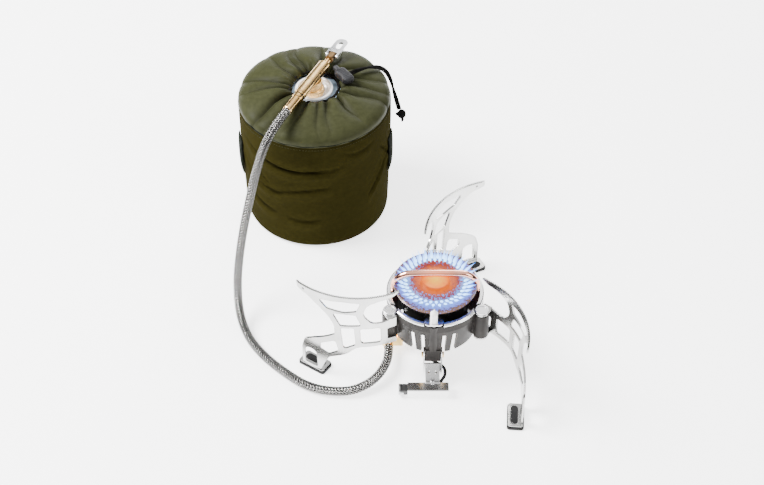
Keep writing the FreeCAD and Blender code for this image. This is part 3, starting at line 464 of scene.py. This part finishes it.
def gathers(angle, share):
    # sharp valleys with round puffs between: -depth exp(-|distance| / width), the width growing
    # and the depth dying from the opening (share 1) towards the seam (share 0)
    local = np.random.default_rng(11)
    total = np.zeros_like(angle)
    inward = 1 - share
    for times, deepest, near, far in gather["sets"]:
        count = topSheet["folds"] * times
        scatter = local.uniform(-gather["scatter"], gather["scatter"], count)
        centres = 2 * np.pi * (np.arange(count) + scatter) / count
        reach = local.uniform(near, far, count)
        depth = local.uniform(*gather["depths"], count) * deepest
        lean = local.uniform(-gather["lean"], gather["lean"], count)
        for k in range(count):
            line = centres[k] + lean[k] * inward + gather["sway"] * np.sin(inward * gather["swayTurns"] + k)
            away = wrapAngle(angle - line) * (gather["opening"] + gather["toSeam"] * inward)
            wide = gather["narrow"] + gather["spread"] * inward
            fade = np.clip(1 - inward / reach[k], 0, 1) ** gather["fade"]
            total -= depth[k] * fade * np.exp(-np.sqrt(away**2 + gather["blunt"]) / wide)
    return total


def makeTop():
    # outline turned round the axis and pushed along its own normal by the gathers, as one thin closed
    # sheet, with the opening a little to the right of the neck
    outline = smoothLine(topOutline, topSheet["rows"])
    slope = np.gradient(outline, axis=0)
    slope /= np.linalg.norm(slope, axis=1, keepdims=True)
    outward = np.stack([slope[:, 1], -slope[:, 0]], -1)
    run = np.r_[0, np.cumsum(np.linalg.norm(np.diff(outline, axis=0), axis=1))]
    angle = np.linspace(0, 2 * np.pi, topSheet["columns"], endpoint=False)[None, :]
    share = np.clip(run / run[-1], 0, 1)[:, None]
    height = outline[:, 1][:, None] + 0 * angle
    full = gathers(angle + 0 * share, share + 0 * angle)
    push = topSheet["depth"] * (full + topSheet["puff"]) * np.clip(share * topSheet["rise"], 0, 1)
    push = push * (topSheet["weak"] + topSheet["gain"] * share)
    slack = topSheet["slack"] * np.clip(topSheet["slackRise"] * share, 0, 1)
    push += slack * softNoise(angle + 0 * share, height, 5, 6, topSheet["slackReach"])
    hem = 1 - topSheet["hemFlat"] * ramp(share, topSheet["hemFrom"], topSheet["hemOver"])
    push = np.minimum(push, topSheet["highest"]) * hem
    outer = outline[:, None, :] + outward[:, None, :] * push[..., None]
    inner = outline[:, None, :] + outward[:, None, :] * (push[..., None] - topSheet["thick"])
    shift = topSheet["shift"] * ramp(share, topSheet["shiftFrom"], topSheet["shiftOver"])
    loop = np.concatenate([outer, inner[::-1]])
    shift = np.concatenate([shift, shift[::-1]])
    ring = aroundCanister(loop[..., 0] * mm, loop[..., 1] * mm, angle + 0 * loop[..., 0])
    ring[..., 0] += shift * mm
    fullRun = np.concatenate([run, 2 * run[-1] - run[::-1]]) * mm
    cloth = np.stack(np.broadcast_arrays(angle * topSheet["clothRadius"] * mm, fullRun[:, None]), -1)
    faces = gridFaces(*loop.shape[:2], closeRows=True, closeColumns=True)
    # painted shade: the gathers' depth, kept per vertex to darken their valleys
    paintedShade = np.concatenate([full, full[::-1]]) + topSheet["shadeLift"]
    piece = meshPiece("coverTop", ring.reshape(-1, 3), faces, "canister",
                      cloth.reshape(-1, 2), paintedShade)
    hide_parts("cover_top")
    return piece


coverTop = makeTop()


piping = {"radius": 63.0, "height": 115.2, "thick": 0.55, "wave": 0.35}
cordRing = {"radius": 20.4, "height": 126.2, "thick": 1.1, "wave": 0.35, "turns": 14}


def ringTube(name, slot, radius, height, thick, wave, turns=20, rows=400, sides=10):
    # circle round the canister whose height swings by two waves, one of them a little faster
    angle = np.linspace(0, 2 * np.pi, rows, endpoint=False)
    swing = wave * np.sin(turns * angle) + wave * 0.6 * np.sin((turns + 7) * angle + 1)
    line = aroundCanister((radius + 0 * angle) * mm, (height + swing) * mm, angle)
    tangent = np.roll(line, -1, 0) - np.roll(line, 1, 0)
    tangent /= np.linalg.norm(tangent, axis=1, keepdims=True)
    out = aroundCanister(np.ones(rows), 0, angle) - aroundCanister(np.zeros(rows), 0, angle)
    up = np.cross(out, tangent)
    turn = np.linspace(0, 2 * np.pi, sides, endpoint=False)
    ring = np.cos(turn)[None, :, None] * out[:, None] + np.sin(turn)[None, :, None] * up[:, None]
    verts = (line[:, None] + ring * thick * mm).reshape(-1, 3)
    uvs = np.stack(np.broadcast_arrays(turn[None, :] * thick * mm, (angle * radius * mm)[:, None]), -1)
    faces = gridFaces(rows, sides, closeRows=True, closeColumns=True)
    return meshPiece(name, verts, faces[:, ::-1], "canister", uvs.reshape(-1, 2))


seamPiping = ringTube("seamPiping", "black_webbing", **piping)
drawcordRing = ringTube("drawcordRing", "black_cord", **cordRing)
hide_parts("drawcord")


stitch = {"radius": 63.6, "height": 111.6, "thick": 0.17, "long": 1.7, "count": 160, "sides": 6,
          "steps": (-1, -0.6, 0.6, 1), "fat": (0.05, 1, 1, 0.05)}


def makeStitches():
    # short threads laid end to end round the wall, each a lozenge: steps along it, and how fat it is there
    count, sides, rows = stitch["count"], stitch["sides"], len(stitch["steps"])
    angle = 2 * np.pi * np.arange(count) / count
    centre = aroundCanister(stitch["radius"] * mm + 0 * angle, stitch["height"] * mm, angle)
    out = np.stack([np.cos(angle), np.sin(angle), 0 * angle], -1)
    along = np.stack([-np.sin(angle), np.cos(angle), 0 * angle], -1)
    up = np.array([0, 0, 1.0])
    steps = np.array(stitch["steps"]) * stitch["long"] / 2 * mm
    fat = np.array(stitch["fat"]) * stitch["thick"] * mm
    turn = np.linspace(0, 2 * np.pi, sides, endpoint=False)
    ring = np.cos(turn)[None, :, None] * out[:, None] + np.sin(turn)[None, :, None] * up
    tube = centre[:, None, None] + along[:, None, None] * steps[None, :, None, None]
    tube = tube + ring[:, None] * fat[None, :, None, None]
    one = gridFaces(rows, sides, closeColumns=True).tolist() + endCaps(0, (rows - 1) * sides, sides)
    faces = [[corner + rows * sides * n for corner in face] for n in range(count) for face in one]
    return meshPiece("seamStitches", tube.reshape(-1, 3), faces, "canister")


seamStitches = makeStitches()
print("cover top, piping and stitches made")


strap = {"angles": (193.0, 350.0), "width": 15.0, "thick": 1.5, "low": 50.5, "high": 85.5, "bulge": 0.9,
         "wall": 63.2, "bendRadius": 64.5, "rows": 60, "across": 24, "square": 0.35, "sewn": 0.06, "pressed": 0.3}


def makeStraps():
    # webbing strip up the wall: a squarish section carried up a line that bows away from the cover,
    # thinner where its ends are sewn down
    verts, faces, uvs = [], [], []
    rows, across = strap["rows"], strap["across"]
    t = np.linspace(0, 1, rows)[:, None]
    section = np.linspace(0, 2 * np.pi, across, endpoint=False)[None, :]
    wide = np.sign(np.cos(section)) * np.abs(np.cos(section)) ** strap["square"] * strap["width"] / 2
    thick = np.sign(np.sin(section)) * np.abs(np.sin(section)) ** strap["square"] * strap["thick"] / 2
    bow = strap["bulge"] * np.sin(np.pi * t) ** 0.6
    height = strap["low"] + (strap["high"] - strap["low"]) * t + 0 * section
    sewn = (t < strap["sewn"]) | (t > 1 - strap["sewn"])
    radius = strap["wall"] + strap["thick"] / 2 + bow + thick * (1 - strap["pressed"] * sewn)
    for centre in strap["angles"]:
        angle = math.radians(centre) + wide / strap["bendRadius"] + 0 * t
        start = sum(len(v) for v in verts)
        verts.append(aroundCanister(radius * mm, height * mm, angle).reshape(-1, 3))
        uvs.append(np.stack([(wide + 0 * t) * mm, height * mm], -1).reshape(-1, 2))
        faces += gridFaces(rows, across, closeColumns=True, start=start).tolist()
        faces += endCaps(start, start + (rows - 1) * across, across)
    piece = meshPiece("sideStraps", np.concatenate(verts), faces, "canister",
                      np.concatenate(uvs))
    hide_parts("side_straps")
    return piece


sideStraps = makeStraps()


lock = {"half": (9.2, 5.3, 3.9), "power": 3.2, "turn": -55.0, "rows": 50, "columns": 96, "waist": 0.10,
        "ridge": 0.18, "ridgePitch": 1.9, "ridgeReach": 6, "ridgeFrom": 0.7}


def makeLock():
    # superellipsoid barrel: each half axis times a signed power of the sphere's own coordinates,
    # with a waist and with grip ridges on its two flat faces
    centre = middle("cord_lock")
    around = np.linspace(0, 2 * np.pi, lock["columns"], endpoint=False)[None, :]
    climb = np.linspace(-np.pi / 2, np.pi / 2, lock["rows"])[1:-1][:, None]
    power = 2 / lock["power"]

    def signed(value):
        return np.sign(value) * np.abs(value) ** power

    a, b, c = lock["half"]
    x = a * signed(np.cos(climb)) * signed(np.cos(around))
    y = b * signed(np.cos(climb)) * signed(np.sin(around)) * (1 - lock["waist"] * np.cos(np.pi * x / a))
    z = c * signed(np.sin(climb)) + 0 * around
    ridge = lock["ridge"] * np.cos(2 * np.pi * x / lock["ridgePitch"]) * (np.abs(x) < lock["ridgeReach"])
    z = z + ridge * np.sign(z) * (np.abs(z) > c * lock["ridgeFrom"])
    turn = math.radians(lock["turn"])
    verts = np.stack([centre[0] + (x * np.cos(turn) - y * np.sin(turn)) * mm,
                      centre[1] + (x * np.sin(turn) + y * np.cos(turn)) * mm, centre[2] + z * mm], -1)
    poles = np.array([[*centre[:2], centre[2] - c * mm], [*centre[:2], centre[2] + c * mm]])
    faces = gridFaces(*x.shape, closeColumns=True).tolist() + poleFans(*x.shape)
    piece = meshPiece("cordLock", np.vstack([verts.reshape(-1, 3), poles]), faces, "canister")
    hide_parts("cord_lock")
    return piece


cordLock = makeLock()
print("straps and cord lock made")


# flames, in mm


flame = {"rings": ((22.2, 0.0), (25.4, 0.5)), "count": 36, "high": 5.6, "highShare": (0.8, 1.15), "wide": 1.3,
         "lean": 1.35, "leanShare": (0.8, 1.2), "curl": 1.4, "rows": 9, "sides": 8}


def makeFlames():
    # teardrop over each port: radius rises and falls along its height, leaning away from the middle
    local = np.random.default_rng(5)
    rows, sides = flame["rows"], flame["sides"]
    t = np.linspace(0.02, 1, rows)
    width = np.sin(np.pi * t**0.62) * (1 - 0.35 * t) + 0.03
    turn = np.linspace(0, 2 * np.pi, sides, endpoint=False)
    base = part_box("burner_head")[1][2]
    up = np.array([0, 0, 1.0])
    verts, faces, uvs = [], [], []
    for radius, phase in flame["rings"]:
        for k in range(flame["count"]):
            angle = 2 * np.pi * (k + phase) / flame["count"]
            out = np.array([np.cos(angle), np.sin(angle), 0])
            along = np.array([-np.sin(angle), np.cos(angle), 0])
            high = flame["high"] * local.uniform(*flame["highShare"])
            lean = flame["lean"] * local.uniform(*flame["leanShare"])
            centre = np.array([*burnerAxis, base]) + out * radius * mm
            line = centre + (t[:, None] * high * up + (t[:, None] ** flame["curl"]) * high * lean * out) * mm
            ring = np.cos(turn)[None, :, None] * out + np.sin(turn)[None, :, None] * along
            start = sum(len(v) for v in verts)
            tube = line[:, None] + ring * (width * flame["wide"] * mm)[:, None, None]
            verts.append(tube.reshape(-1, 3))
            uvs.append(np.stack(np.broadcast_arrays(turn[None, :] / 6.3, t[:, None]), -1).reshape(-1, 2))
            faces += gridFaces(rows, sides, closeColumns=True, start=start).tolist()
            faces += endCaps(start, start + (rows - 1) * sides, sides)
    return meshPiece("flames", np.concatenate(verts), faces, "burner", np.concatenate(uvs))


flames = makeFlames()
print("flames made")


# shader groups shared by the materials


def newGroup(name, inputs, outputs):
    group = bpy.data.node_groups.new(name, "ShaderNodeTree")
    for label, kind, value in inputs:
        socket = group.interface.new_socket(label, in_out="INPUT", socket_type=kind)
        socket.default_value = value
    for label, kind in outputs:
        group.interface.new_socket(label, in_out="OUTPUT", socket_type=kind)
    return group, group.nodes.new("NodeGroupInput"), group.nodes.new("NodeGroupOutput")


def mathNode(tree, operation, first, second=None):
    node = tree.nodes.new("ShaderNodeMath")
    node.operation = operation
    for socket, value in zip(node.inputs, (first, second)):
        if value is None:
            continue
        if isinstance(value, (int, float)):
            socket.default_value = value
        else:
            tree.links.new(value, socket)
    return node.outputs[0]


def grainGroup():
    # two scales of noise on object coordinates: a broad mask and a fine height
    group, inside, outside = newGroup(
        "surfaceGrain", [("Broad", "NodeSocketFloat", 60.0), ("Fine", "NodeSocketFloat", 900.0)],
        [("Mask", "NodeSocketFloat"), ("Height", "NodeSocketFloat")])
    place = group.nodes.new("ShaderNodeTexCoord")
    for label, detail in (("Broad", 4.0), ("Fine", 2.0)):
        noise = group.nodes.new("ShaderNodeTexNoise")
        noise.inputs["Detail"].default_value = detail
        group.links.new(place.outputs["Object"], noise.inputs["Vector"])
        group.links.new(inside.outputs[label], noise.inputs["Scale"])
        group.links.new(noise.outputs["Fac"], outside.inputs["Mask" if label == "Broad" else "Height"])
    return group


def clothSplit(tree):
    # the piece's own cloth coordinates, whole and as separate numbers
    uv = tree.nodes.new("ShaderNodeUVMap")
    uv.uv_map = "cloth"
    split = tree.nodes.new("ShaderNodeSeparateXYZ")
    tree.links.new(uv.outputs["UV"], split.inputs[0])
    return uv.outputs["UV"], split.outputs


def weaveGroup():
    # over and under threads from the cloth's own coordinates, with uneven threads
    group, inside, outside = newGroup(
        "clothWeave", [("Threads", "NodeSocketFloat", 1500.0), ("Uneven", "NodeSocketFloat", 0.4)],
        [("Height", "NodeSocketFloat"), ("Mask", "NodeSocketFloat")])
    cloth, runs = clothSplit(group)
    waves = []
    for axis in (0, 1):
        scaled = mathNode(group, "MULTIPLY", runs[axis], inside.outputs["Threads"])
        waves.append(mathNode(group, "SINE", mathNode(group, "MULTIPLY", scaled, 2 * math.pi)))
    product = mathNode(group, "MULTIPLY", waves[0], waves[1])
    noise = group.nodes.new("ShaderNodeTexNoise")
    noise.inputs["Scale"].default_value = 260.0
    noise.inputs["Detail"].default_value = 3.0
    group.links.new(cloth, noise.inputs["Vector"])
    uneven = mathNode(group, "MULTIPLY", noise.outputs["Fac"], inside.outputs["Uneven"])
    height = mathNode(group, "ADD", mathNode(group, "MULTIPLY", product, 0.5), uneven)
    group.links.new(height, outside.inputs["Height"])
    group.links.new(noise.outputs["Fac"], outside.inputs["Mask"])
    return group


grain = grainGroup()
weave = weaveGroup()


def rampColors(tree, mask, dark, light, low=0.35, high=0.65):
    ramp = tree.nodes.new("ShaderNodeValToRGB")
    ramp.color_ramp.elements[0].position = low
    ramp.color_ramp.elements[1].position = high
    ramp.color_ramp.elements[0].color = (*dark, 1)
    ramp.color_ramp.elements[1].color = (*light, 1)
    tree.links.new(mask, ramp.inputs[0])
    return ramp.outputs[0]


def rangeOf(tree, value, low, high, fromLow=0.3, fromHigh=0.7):
    node = tree.nodes.new("ShaderNodeMapRange")
    for label, number in (("From Min", fromLow), ("From Max", fromHigh), ("To Min", low), ("To Max", high)):
        node.inputs[label].default_value = number
    tree.links.new(value, node.inputs["Value"])
    return node.outputs[0]


def startMaterial(name, plain):
    material = bpy.data.materials.new(name)
    material.use_nodes = True
    shader = material.node_tree.nodes["Principled BSDF"]
    for label, value in plain.items():
        shader.inputs[label].default_value = value
    return material, material.node_tree, shader


def bumpInto(tree, shader, height, strength, distance):
    bump = tree.nodes.new("ShaderNodeBump")
    bump.inputs["Strength"].default_value = strength
    bump.inputs["Distance"].default_value = distance
    tree.links.new(height, bump.inputs["Height"])
    tree.links.new(bump.outputs[0], shader.inputs["Normal"])


def hardMaterial(name, dark, light, rough, metallic=0.0, broad=60.0, fine=900.0, bump=0.1, depth=0.0001, **plain):
    material, tree, shader = startMaterial(name, {"Metallic": metallic, **plain})
    group = tree.nodes.new("ShaderNodeGroup")
    group.node_tree = grain
    group.inputs["Broad"].default_value = broad
    group.inputs["Fine"].default_value = fine
    tree.links.new(rampColors(tree, group.outputs["Mask"], dark, light), shader.inputs["Base Color"])
    tree.links.new(rangeOf(tree, group.outputs["Mask"], *rough), shader.inputs["Roughness"])
    bumpInto(tree, shader, group.outputs["Height"], bump, depth)
    return material


def paintEdgeShade(material, reach, dark):
    # painted shade: mask of the angle between the rounded and the true normal, so punched edges are painted dark
    # where shade and dark reflections fall along them
    tree = material.node_tree
    shader = tree.nodes["Principled BSDF"]
    bevel = tree.nodes.new("ShaderNodeBevel")
    bevel.samples = 4
    bevel.inputs["Radius"].default_value = reach
    true = tree.nodes.new("ShaderNodeNewGeometry")
    turn = tree.nodes.new("ShaderNodeVectorMath")
    turn.operation = "DOT_PRODUCT"
    tree.links.new(bevel.outputs[0], turn.inputs[0])
    tree.links.new(true.outputs["True Normal"], turn.inputs[1])
    mix = tree.nodes.new("ShaderNodeMix")
    mix.data_type = "RGBA"
    mix.inputs[6].default_value = (*dark, 1)
    tree.links.new(rangeOf(tree, turn.outputs["Value"], 0.0, 1.0, 0.78, 0.97), mix.inputs[0])
    tree.links.new(shader.inputs["Base Color"].links[0].from_socket, mix.inputs[7])
    tree.links.new(mix.outputs[2], shader.inputs["Base Color"])


def clothMaterial(name, dark, light, threads, rough, bump, depth, **plain):
    material, tree, shader = startMaterial(name, plain)
    group = tree.nodes.new("ShaderNodeGroup")
    group.node_tree = weave
    group.inputs["Threads"].default_value = threads
    # painted shade: grooves of the cloth, negative in the painted shade attribute, are darkened in the base
    # colour where shade would fall in them
    creaseShade = tree.nodes.new("ShaderNodeAttribute")
    creaseShade.attribute_name = "creaseShade"
    shade = tree.nodes.new("ShaderNodeMix")
    shade.data_type = "RGBA"
    shade.blend_type = "MULTIPLY"
    shade.inputs[0].default_value = 1.0
    tree.links.new(rampColors(tree, group.outputs["Mask"], dark, light, 0.3, 0.7), shade.inputs[6])
    tree.links.new(rangeOf(tree, creaseShade.outputs["Fac"], 0.16, 1.0, -0.8, 0.1), shade.inputs[7])
    tree.links.new(shade.outputs[2], shader.inputs["Base Color"])
    tree.links.new(rangeOf(tree, group.outputs["Mask"], *rough), shader.inputs["Roughness"])
    bumpInto(tree, shader, group.outputs["Height"], bump, depth)
    return material


hardLooks = {
    "housing_paint": {"dark": (0.016, 0.014, 0.013), "light": (0.028, 0.025, 0.023), "rough": (0.3, 0.44),
                      "broad": 90, "fine": 1600, "bump": 0.25, "Specular IOR Level": 0.12},
    "bright_steel": {"dark": (0.76, 0.76, 0.76), "light": (0.86, 0.86, 0.86), "rough": (0.2, 0.28),
                     "metallic": 1.0, "broad": 30, "fine": 700, "bump": 0.01},
    "leg_steel": {"dark": (0.42, 0.42, 0.41), "light": (0.6, 0.6, 0.59), "rough": (0.12, 0.24),
                  "metallic": 1.0, "broad": 30, "fine": 1300, "bump": 0.12},
    "handle_steel": {"dark": (0.85, 0.86, 0.88), "light": (0.93, 0.93, 0.95), "rough": (0.14, 0.26),
                     "metallic": 1.0},
    "black_steel": {"dark": (0.004, 0.004, 0.004), "light": (0.012, 0.011, 0.01), "rough": (0.25, 0.4),
                    "metallic": 0.1, "broad": 120, "fine": 1400, "bump": 0.15},
    "plain_brass": {"dark": (0.58, 0.38, 0.13), "light": (0.78, 0.56, 0.24), "rough": (0.16, 0.3),
                    "metallic": 1.0},
    "gold_brass": {"dark": (0.84, 0.52, 0.2), "light": (0.98, 0.7, 0.34), "rough": (0.18, 0.3),
                   "metallic": 1.0, "broad": 70, "bump": 0.06},
    "black_rubber": {"dark": (0.004, 0.004, 0.004), "light": (0.01, 0.01, 0.01), "rough": (0.5, 0.68),
                     "broad": 150, "fine": 2500, "bump": 0.3, "Specular IOR Level": 0.15},
    "black_plastic": {"dark": (0.01, 0.01, 0.01), "light": (0.022, 0.022, 0.022), "rough": (0.35, 0.5)},
    "spring_steel": {"dark": (0.4, 0.4, 0.4), "light": (0.55, 0.55, 0.55), "rough": (0.2, 0.35),
                     "metallic": 1.0},
    "grey_metal": {"dark": (0.33, 0.345, 0.345), "light": (0.5, 0.51, 0.51), "rough": (0.25, 0.4),
                   "metallic": 1.0},
    "white_ceramic": {"dark": (0.84, 0.83, 0.8), "light": (0.93, 0.92, 0.9), "rough": (0.12, 0.24),
                      "broad": 80, "bump": 0.05, "Coat Weight": 0.4},
    "dark_bronze": {"dark": (0.09, 0.05, 0.025), "light": (0.2, 0.12, 0.05), "rough": (0.25, 0.42),
                    "metallic": 0.9},
    "canister_paint": {"dark": (0.5, 0.66, 0.84), "light": (0.62, 0.76, 0.9), "rough": (0.2, 0.34),
                       "broad": 40, "bump": 0.05, "Coat Weight": 0.5},
    # partly the tin's own brightness and partly a painted highlight: the cup is near white and mostly not
    # metallic
    "cup_tin": {"dark": (0.9, 0.9, 0.9), "light": (0.95, 0.95, 0.95), "rough": (0.22, 0.38), "metallic": 0.3},
    "lock_plastic": {"dark": (0.004, 0.004, 0.005), "light": (0.014, 0.014, 0.017), "rough": (0.42, 0.6),
                     "broad": 200, "fine": 1500, "bump": 0.7, "depth": 0.0004, "Specular IOR Level": 0.25},
}
clothLooks = {
    "olive_fleece": {"dark": (0.0145, 0.0125, 0.0028), "light": (0.018, 0.0155, 0.0036), "threads": 1250,
                     "rough": (0.8, 0.95), "bump": 0.35, "depth": 0.0003, "IOR": 1.04},
    "olive_nylon": {"dark": (0.023, 0.0245, 0.0105), "light": (0.03, 0.032, 0.014), "threads": 2600,
                    "rough": (0.36, 0.5), "bump": 0.15, "depth": 0.0002, "IOR": 1.11},
    "black_cord": {"dark": (0.004, 0.004, 0.004), "light": (0.018, 0.017, 0.015), "threads": 900,
                   "rough": (0.7, 0.9), "bump": 0.8, "depth": 0.0006, "IOR": 1.08},
    "black_webbing": {"dark": (0.004, 0.005, 0.004), "light": (0.014, 0.016, 0.012), "threads": 700,
                      "rough": (0.7, 0.9), "bump": 0.8, "depth": 0.0006, "IOR": 1.05},
}
finishes = {name: hardMaterial(name, **look) for name, look in hardLooks.items()}
finishes.update({name: clothMaterial(name, **look) for name, look in clothLooks.items()})
# painted shade along the edges of the leg steel
paintEdgeShade(finishes["leg_steel"], 0.001, (0.03, 0.03, 0.03))


def radialMask(tree, low, high):
    # 0 at radius low from the burner's axis to 1 at radius high, from object coordinates
    place = tree.nodes.new("ShaderNodeTexCoord")
    split = tree.nodes.new("ShaderNodeSeparateXYZ")
    tree.links.new(place.outputs["Object"], split.inputs[0])
    squares = []
    for axis, centre in enumerate(burnerAxis):
        away = mathNode(tree, "SUBTRACT", split.outputs[axis], float(centre))
        squares.append(mathNode(tree, "MULTIPLY", away, away))
    radius = mathNode(tree, "SQRT", mathNode(tree, "ADD", *squares))
    return rangeOf(tree, radius, 0.0, 1.0, low * mm, high * mm)


# painted light from the flame: glow from the inner colour at the first radius, in mm, to the outer at the second;
# the burner head's blue stops are a painted reflection of the flames
glowLooks = {
    "glowing_disc": {"color": (0.08, 0.02, 0.0), "rough": (0.5, 0.7), "metallic": 0.0, "radii": (0, 11),
                     "inner": (1.0, 0.5, 0.01), "outer": (0.85, 0.13, 0.0), "strength": 2.0, "marks": 400.0},
    "burner_brass": {"color": (0.07, 0.035, 0.025), "rough": (0.3, 0.45), "metallic": 0.6, "radii": (9, 33),
                     "inner": (0.6, 0.1, 0.0), "outer": (0.02, 0.008, 0.002), "strength": 2.2, "marks": 500.0,
                     "stops": ((0.25, (0.36, 0.04, 0.0)), (0.4, (0.18, 0.03, 0.04)), (0.5, (0.1, 0.32, 0.9)),
                               (0.82, (0.05, 0.16, 0.8)), (0.9, (0.03, 0.05, 0.3)))},
    "heated_tube": {"color": (0.72, 0.36, 0.26), "rough": (0.06, 0.14), "metallic": 1.0, "radii": (2, 17),
                    "inner": (0.9, 0.15, 0.005), "outer": (0.01, 0.004, 0.006), "strength": 0.9,
                    "marks": 120.0},
}


def glowMaterial(name, color, rough, metallic, radii, inner, outer, strength, marks, stops=()):
    # painted light: metal or clay given emission by radius to stand in for the flame's light on it, its bounds
    # broken up by noise
    material, tree, shader = startMaterial(name, {"Metallic": metallic, "Emission Strength": strength})
    mask = radialMask(tree, *radii)
    noise = tree.nodes.new("ShaderNodeTexNoise")
    noise.inputs["Scale"].default_value = marks
    place = tree.nodes.new("ShaderNodeTexCoord")
    tree.links.new(place.outputs["Object"], noise.inputs["Vector"])
    uneven = mathNode(tree, "MULTIPLY", mathNode(tree, "SUBTRACT", noise.outputs["Fac"], 0.5), 0.5)
    glow = rampColors(tree, mathNode(tree, "ADD", mask, uneven), inner, outer, 0.05, 0.95)
    for position, shade in stops:
        glow.node.color_ramp.elements.new(position).color = (*shade, 1)
    tree.links.new(glow, shader.inputs["Emission Color"])
    tree.links.new(rampColors(tree, noise.outputs["Fac"], color, tuple(min(1, c * 1.2) for c in color)),
                   shader.inputs["Base Color"])
    tree.links.new(rangeOf(tree, noise.outputs["Fac"], *rough), shader.inputs["Roughness"])
    bumpInto(tree, shader, noise.outputs["Fac"], 0.1, 0.0002)
    return material


finishes.update({name: glowMaterial(name, **look) for name, look in glowLooks.items()})


braidLook = {"wires": 4, "wireDepth": 0.08, "dark": (0.012, 0.012, 0.011), "light": (0.5, 0.49, 0.475)}


def braidMaterial():
    # painted shade: bright along the middle of each strand and painted dark at its edges where shade falls
    # between strands, with fine wires along it
    material, tree, shader = startMaterial("steel_braid", {"Metallic": 1.0})
    across = clothSplit(tree)[1][0]
    away = mathNode(tree, "ABSOLUTE", mathNode(tree, "SUBTRACT", across, 0.5))
    wires = mathNode(tree, "SINE", mathNode(tree, "MULTIPLY", across, 2 * math.pi * braidLook["wires"]))
    lit = mathNode(tree, "ADD", mathNode(tree, "MULTIPLY", wires, braidLook["wireDepth"]), 0.9)
    lit = mathNode(tree, "SUBTRACT", lit, away)
    # painted shade: the ramp darkens each strand towards its edges
    tree.links.new(rampColors(tree, lit, braidLook["dark"], braidLook["light"], 0.5, 0.85),
                   shader.inputs["Base Color"])
    tree.links.new(rangeOf(tree, lit, 0.34, 0.16), shader.inputs["Roughness"])
    bumpInto(tree, shader, wires, 0.5, 0.0001)
    return material


flameGlow = {"strength": 4.5, "low": (0.5, 0.9, 1.0), "high": (0.05, 0.32, 1.0), "alpha": (0.7, 0.15)}


def flameMaterial():
    # pale at the port and blue above, thinning out towards the tip
    material, tree, shader = startMaterial("flame", {"Emission Strength": flameGlow["strength"],
                                                     "Roughness": 1.0, "Base Color": (0.1, 0.2, 0.6, 1)})
    height = clothSplit(tree)[1][1]
    tree.links.new(rampColors(tree, height, flameGlow["low"], flameGlow["high"], 0.15, 0.95),
                   shader.inputs["Emission Color"])
    tree.links.new(rangeOf(tree, height, *flameGlow["alpha"], 0.1, 1.0), shader.inputs["Alpha"])
    return material


def setMaterial(piece, material):
    if len(piece.data.materials) == 0:
        piece.data.materials.append(material)
    for holder in piece.material_slots:
        holder.material = material


finishes["steel_braid"] = braidMaterial()
slotOf = {part["node"]: part["material_slot"] for part in frame["record"]["subparts"]}
for name, node in nodes.items():
    setMaterial(node, finishes[slotOf[name]])
setMaterial(hoseBraid, finishes["steel_braid"])
setMaterial(hoseCore, finishes["black_rubber"])
for piece, finish in ((tailPiece, "black_cord"), (knotPiece, "black_cord"), (coverSide, "olive_fleece"),
                      (coverTop, "olive_nylon"), (seamPiping, "black_webbing"),
                      (drawcordRing, "black_cord"), (seamStitches, "olive_nylon"), (sideStraps, "black_webbing"),
                      (cordLock, "lock_plastic")):
    setMaterial(piece, finishes[finish])
setMaterial(flames, flameMaterial())
print("materials set")


# floor and light


stage = {"floorHalf": 6.0, "paper": (0.93, 0.93, 0.93, 1), "paperGlow": 2.4, "sky": 1.5,
         "skyLow": (0.04, 0.04, 0.042), "skyHigh": (1.0, 1.0, 1.0), "skyFrom": 0.34, "skyTo": 0.8,
         "aim": (0, 0, 0.05)}
# place and width in metres, and power in watts
lamps = {"key": ((-1.1, 0.1, 1.3), 0.8, 105.0), "fill": ((1.2, -0.7, 0.9), 0.7, 12.0),
         "back": ((0.5, 1.5, 0.9), 0.9, 26.0)}


def makeStage():
    half = stage["floorHalf"]
    mesh = bpy.data.meshes.new("floor")
    mesh.from_pydata([(-half, -half, 0), (half, -half, 0), (half, half, 0), (-half, half, 0)], [],
                     [(0, 1, 2, 3)])
    floor = bpy.data.objects.new("floor", mesh)
    bpy.context.collection.objects.link(floor)
    paper = {"Base Color": stage["paper"], "Roughness": 0.9, "Emission Color": (1, 1, 1, 1),
             "Emission Strength": stage["paperGlow"]}
    setMaterial(floor, startMaterial("floorPaper", paper)[0])
    world = bpy.data.worlds.new("studio")
    world.use_nodes = True
    bpy.context.scene.world = world
    tree = world.node_tree
    background = tree.nodes["Background"]
    background.inputs[1].default_value = stage["sky"]
    # dark round the horizon and bright overhead, for the metal to mirror
    direction = tree.nodes.new("ShaderNodeTexCoord")
    split = tree.nodes.new("ShaderNodeSeparateXYZ")
    tree.links.new(direction.outputs["Generated"], split.inputs[0])
    sky = rampColors(tree, split.outputs["Z"], stage["skyLow"], stage["skyHigh"], stage["skyFrom"],
                     stage["skyTo"])
    tree.links.new(sky, background.inputs[0])
    for name, (place, wide, power) in lamps.items():
        data = bpy.data.lights.new(name, "AREA")
        data.size = wide
        data.energy = power
        lamp = bpy.data.objects.new(name, data)
        lamp.location = place
        lamp.rotation_euler = (Vector(stage["aim"]) - Vector(place)).to_track_quat("-Z", "Y").to_euler()
        bpy.context.collection.objects.link(lamp)


makeStage()
print("stage set")
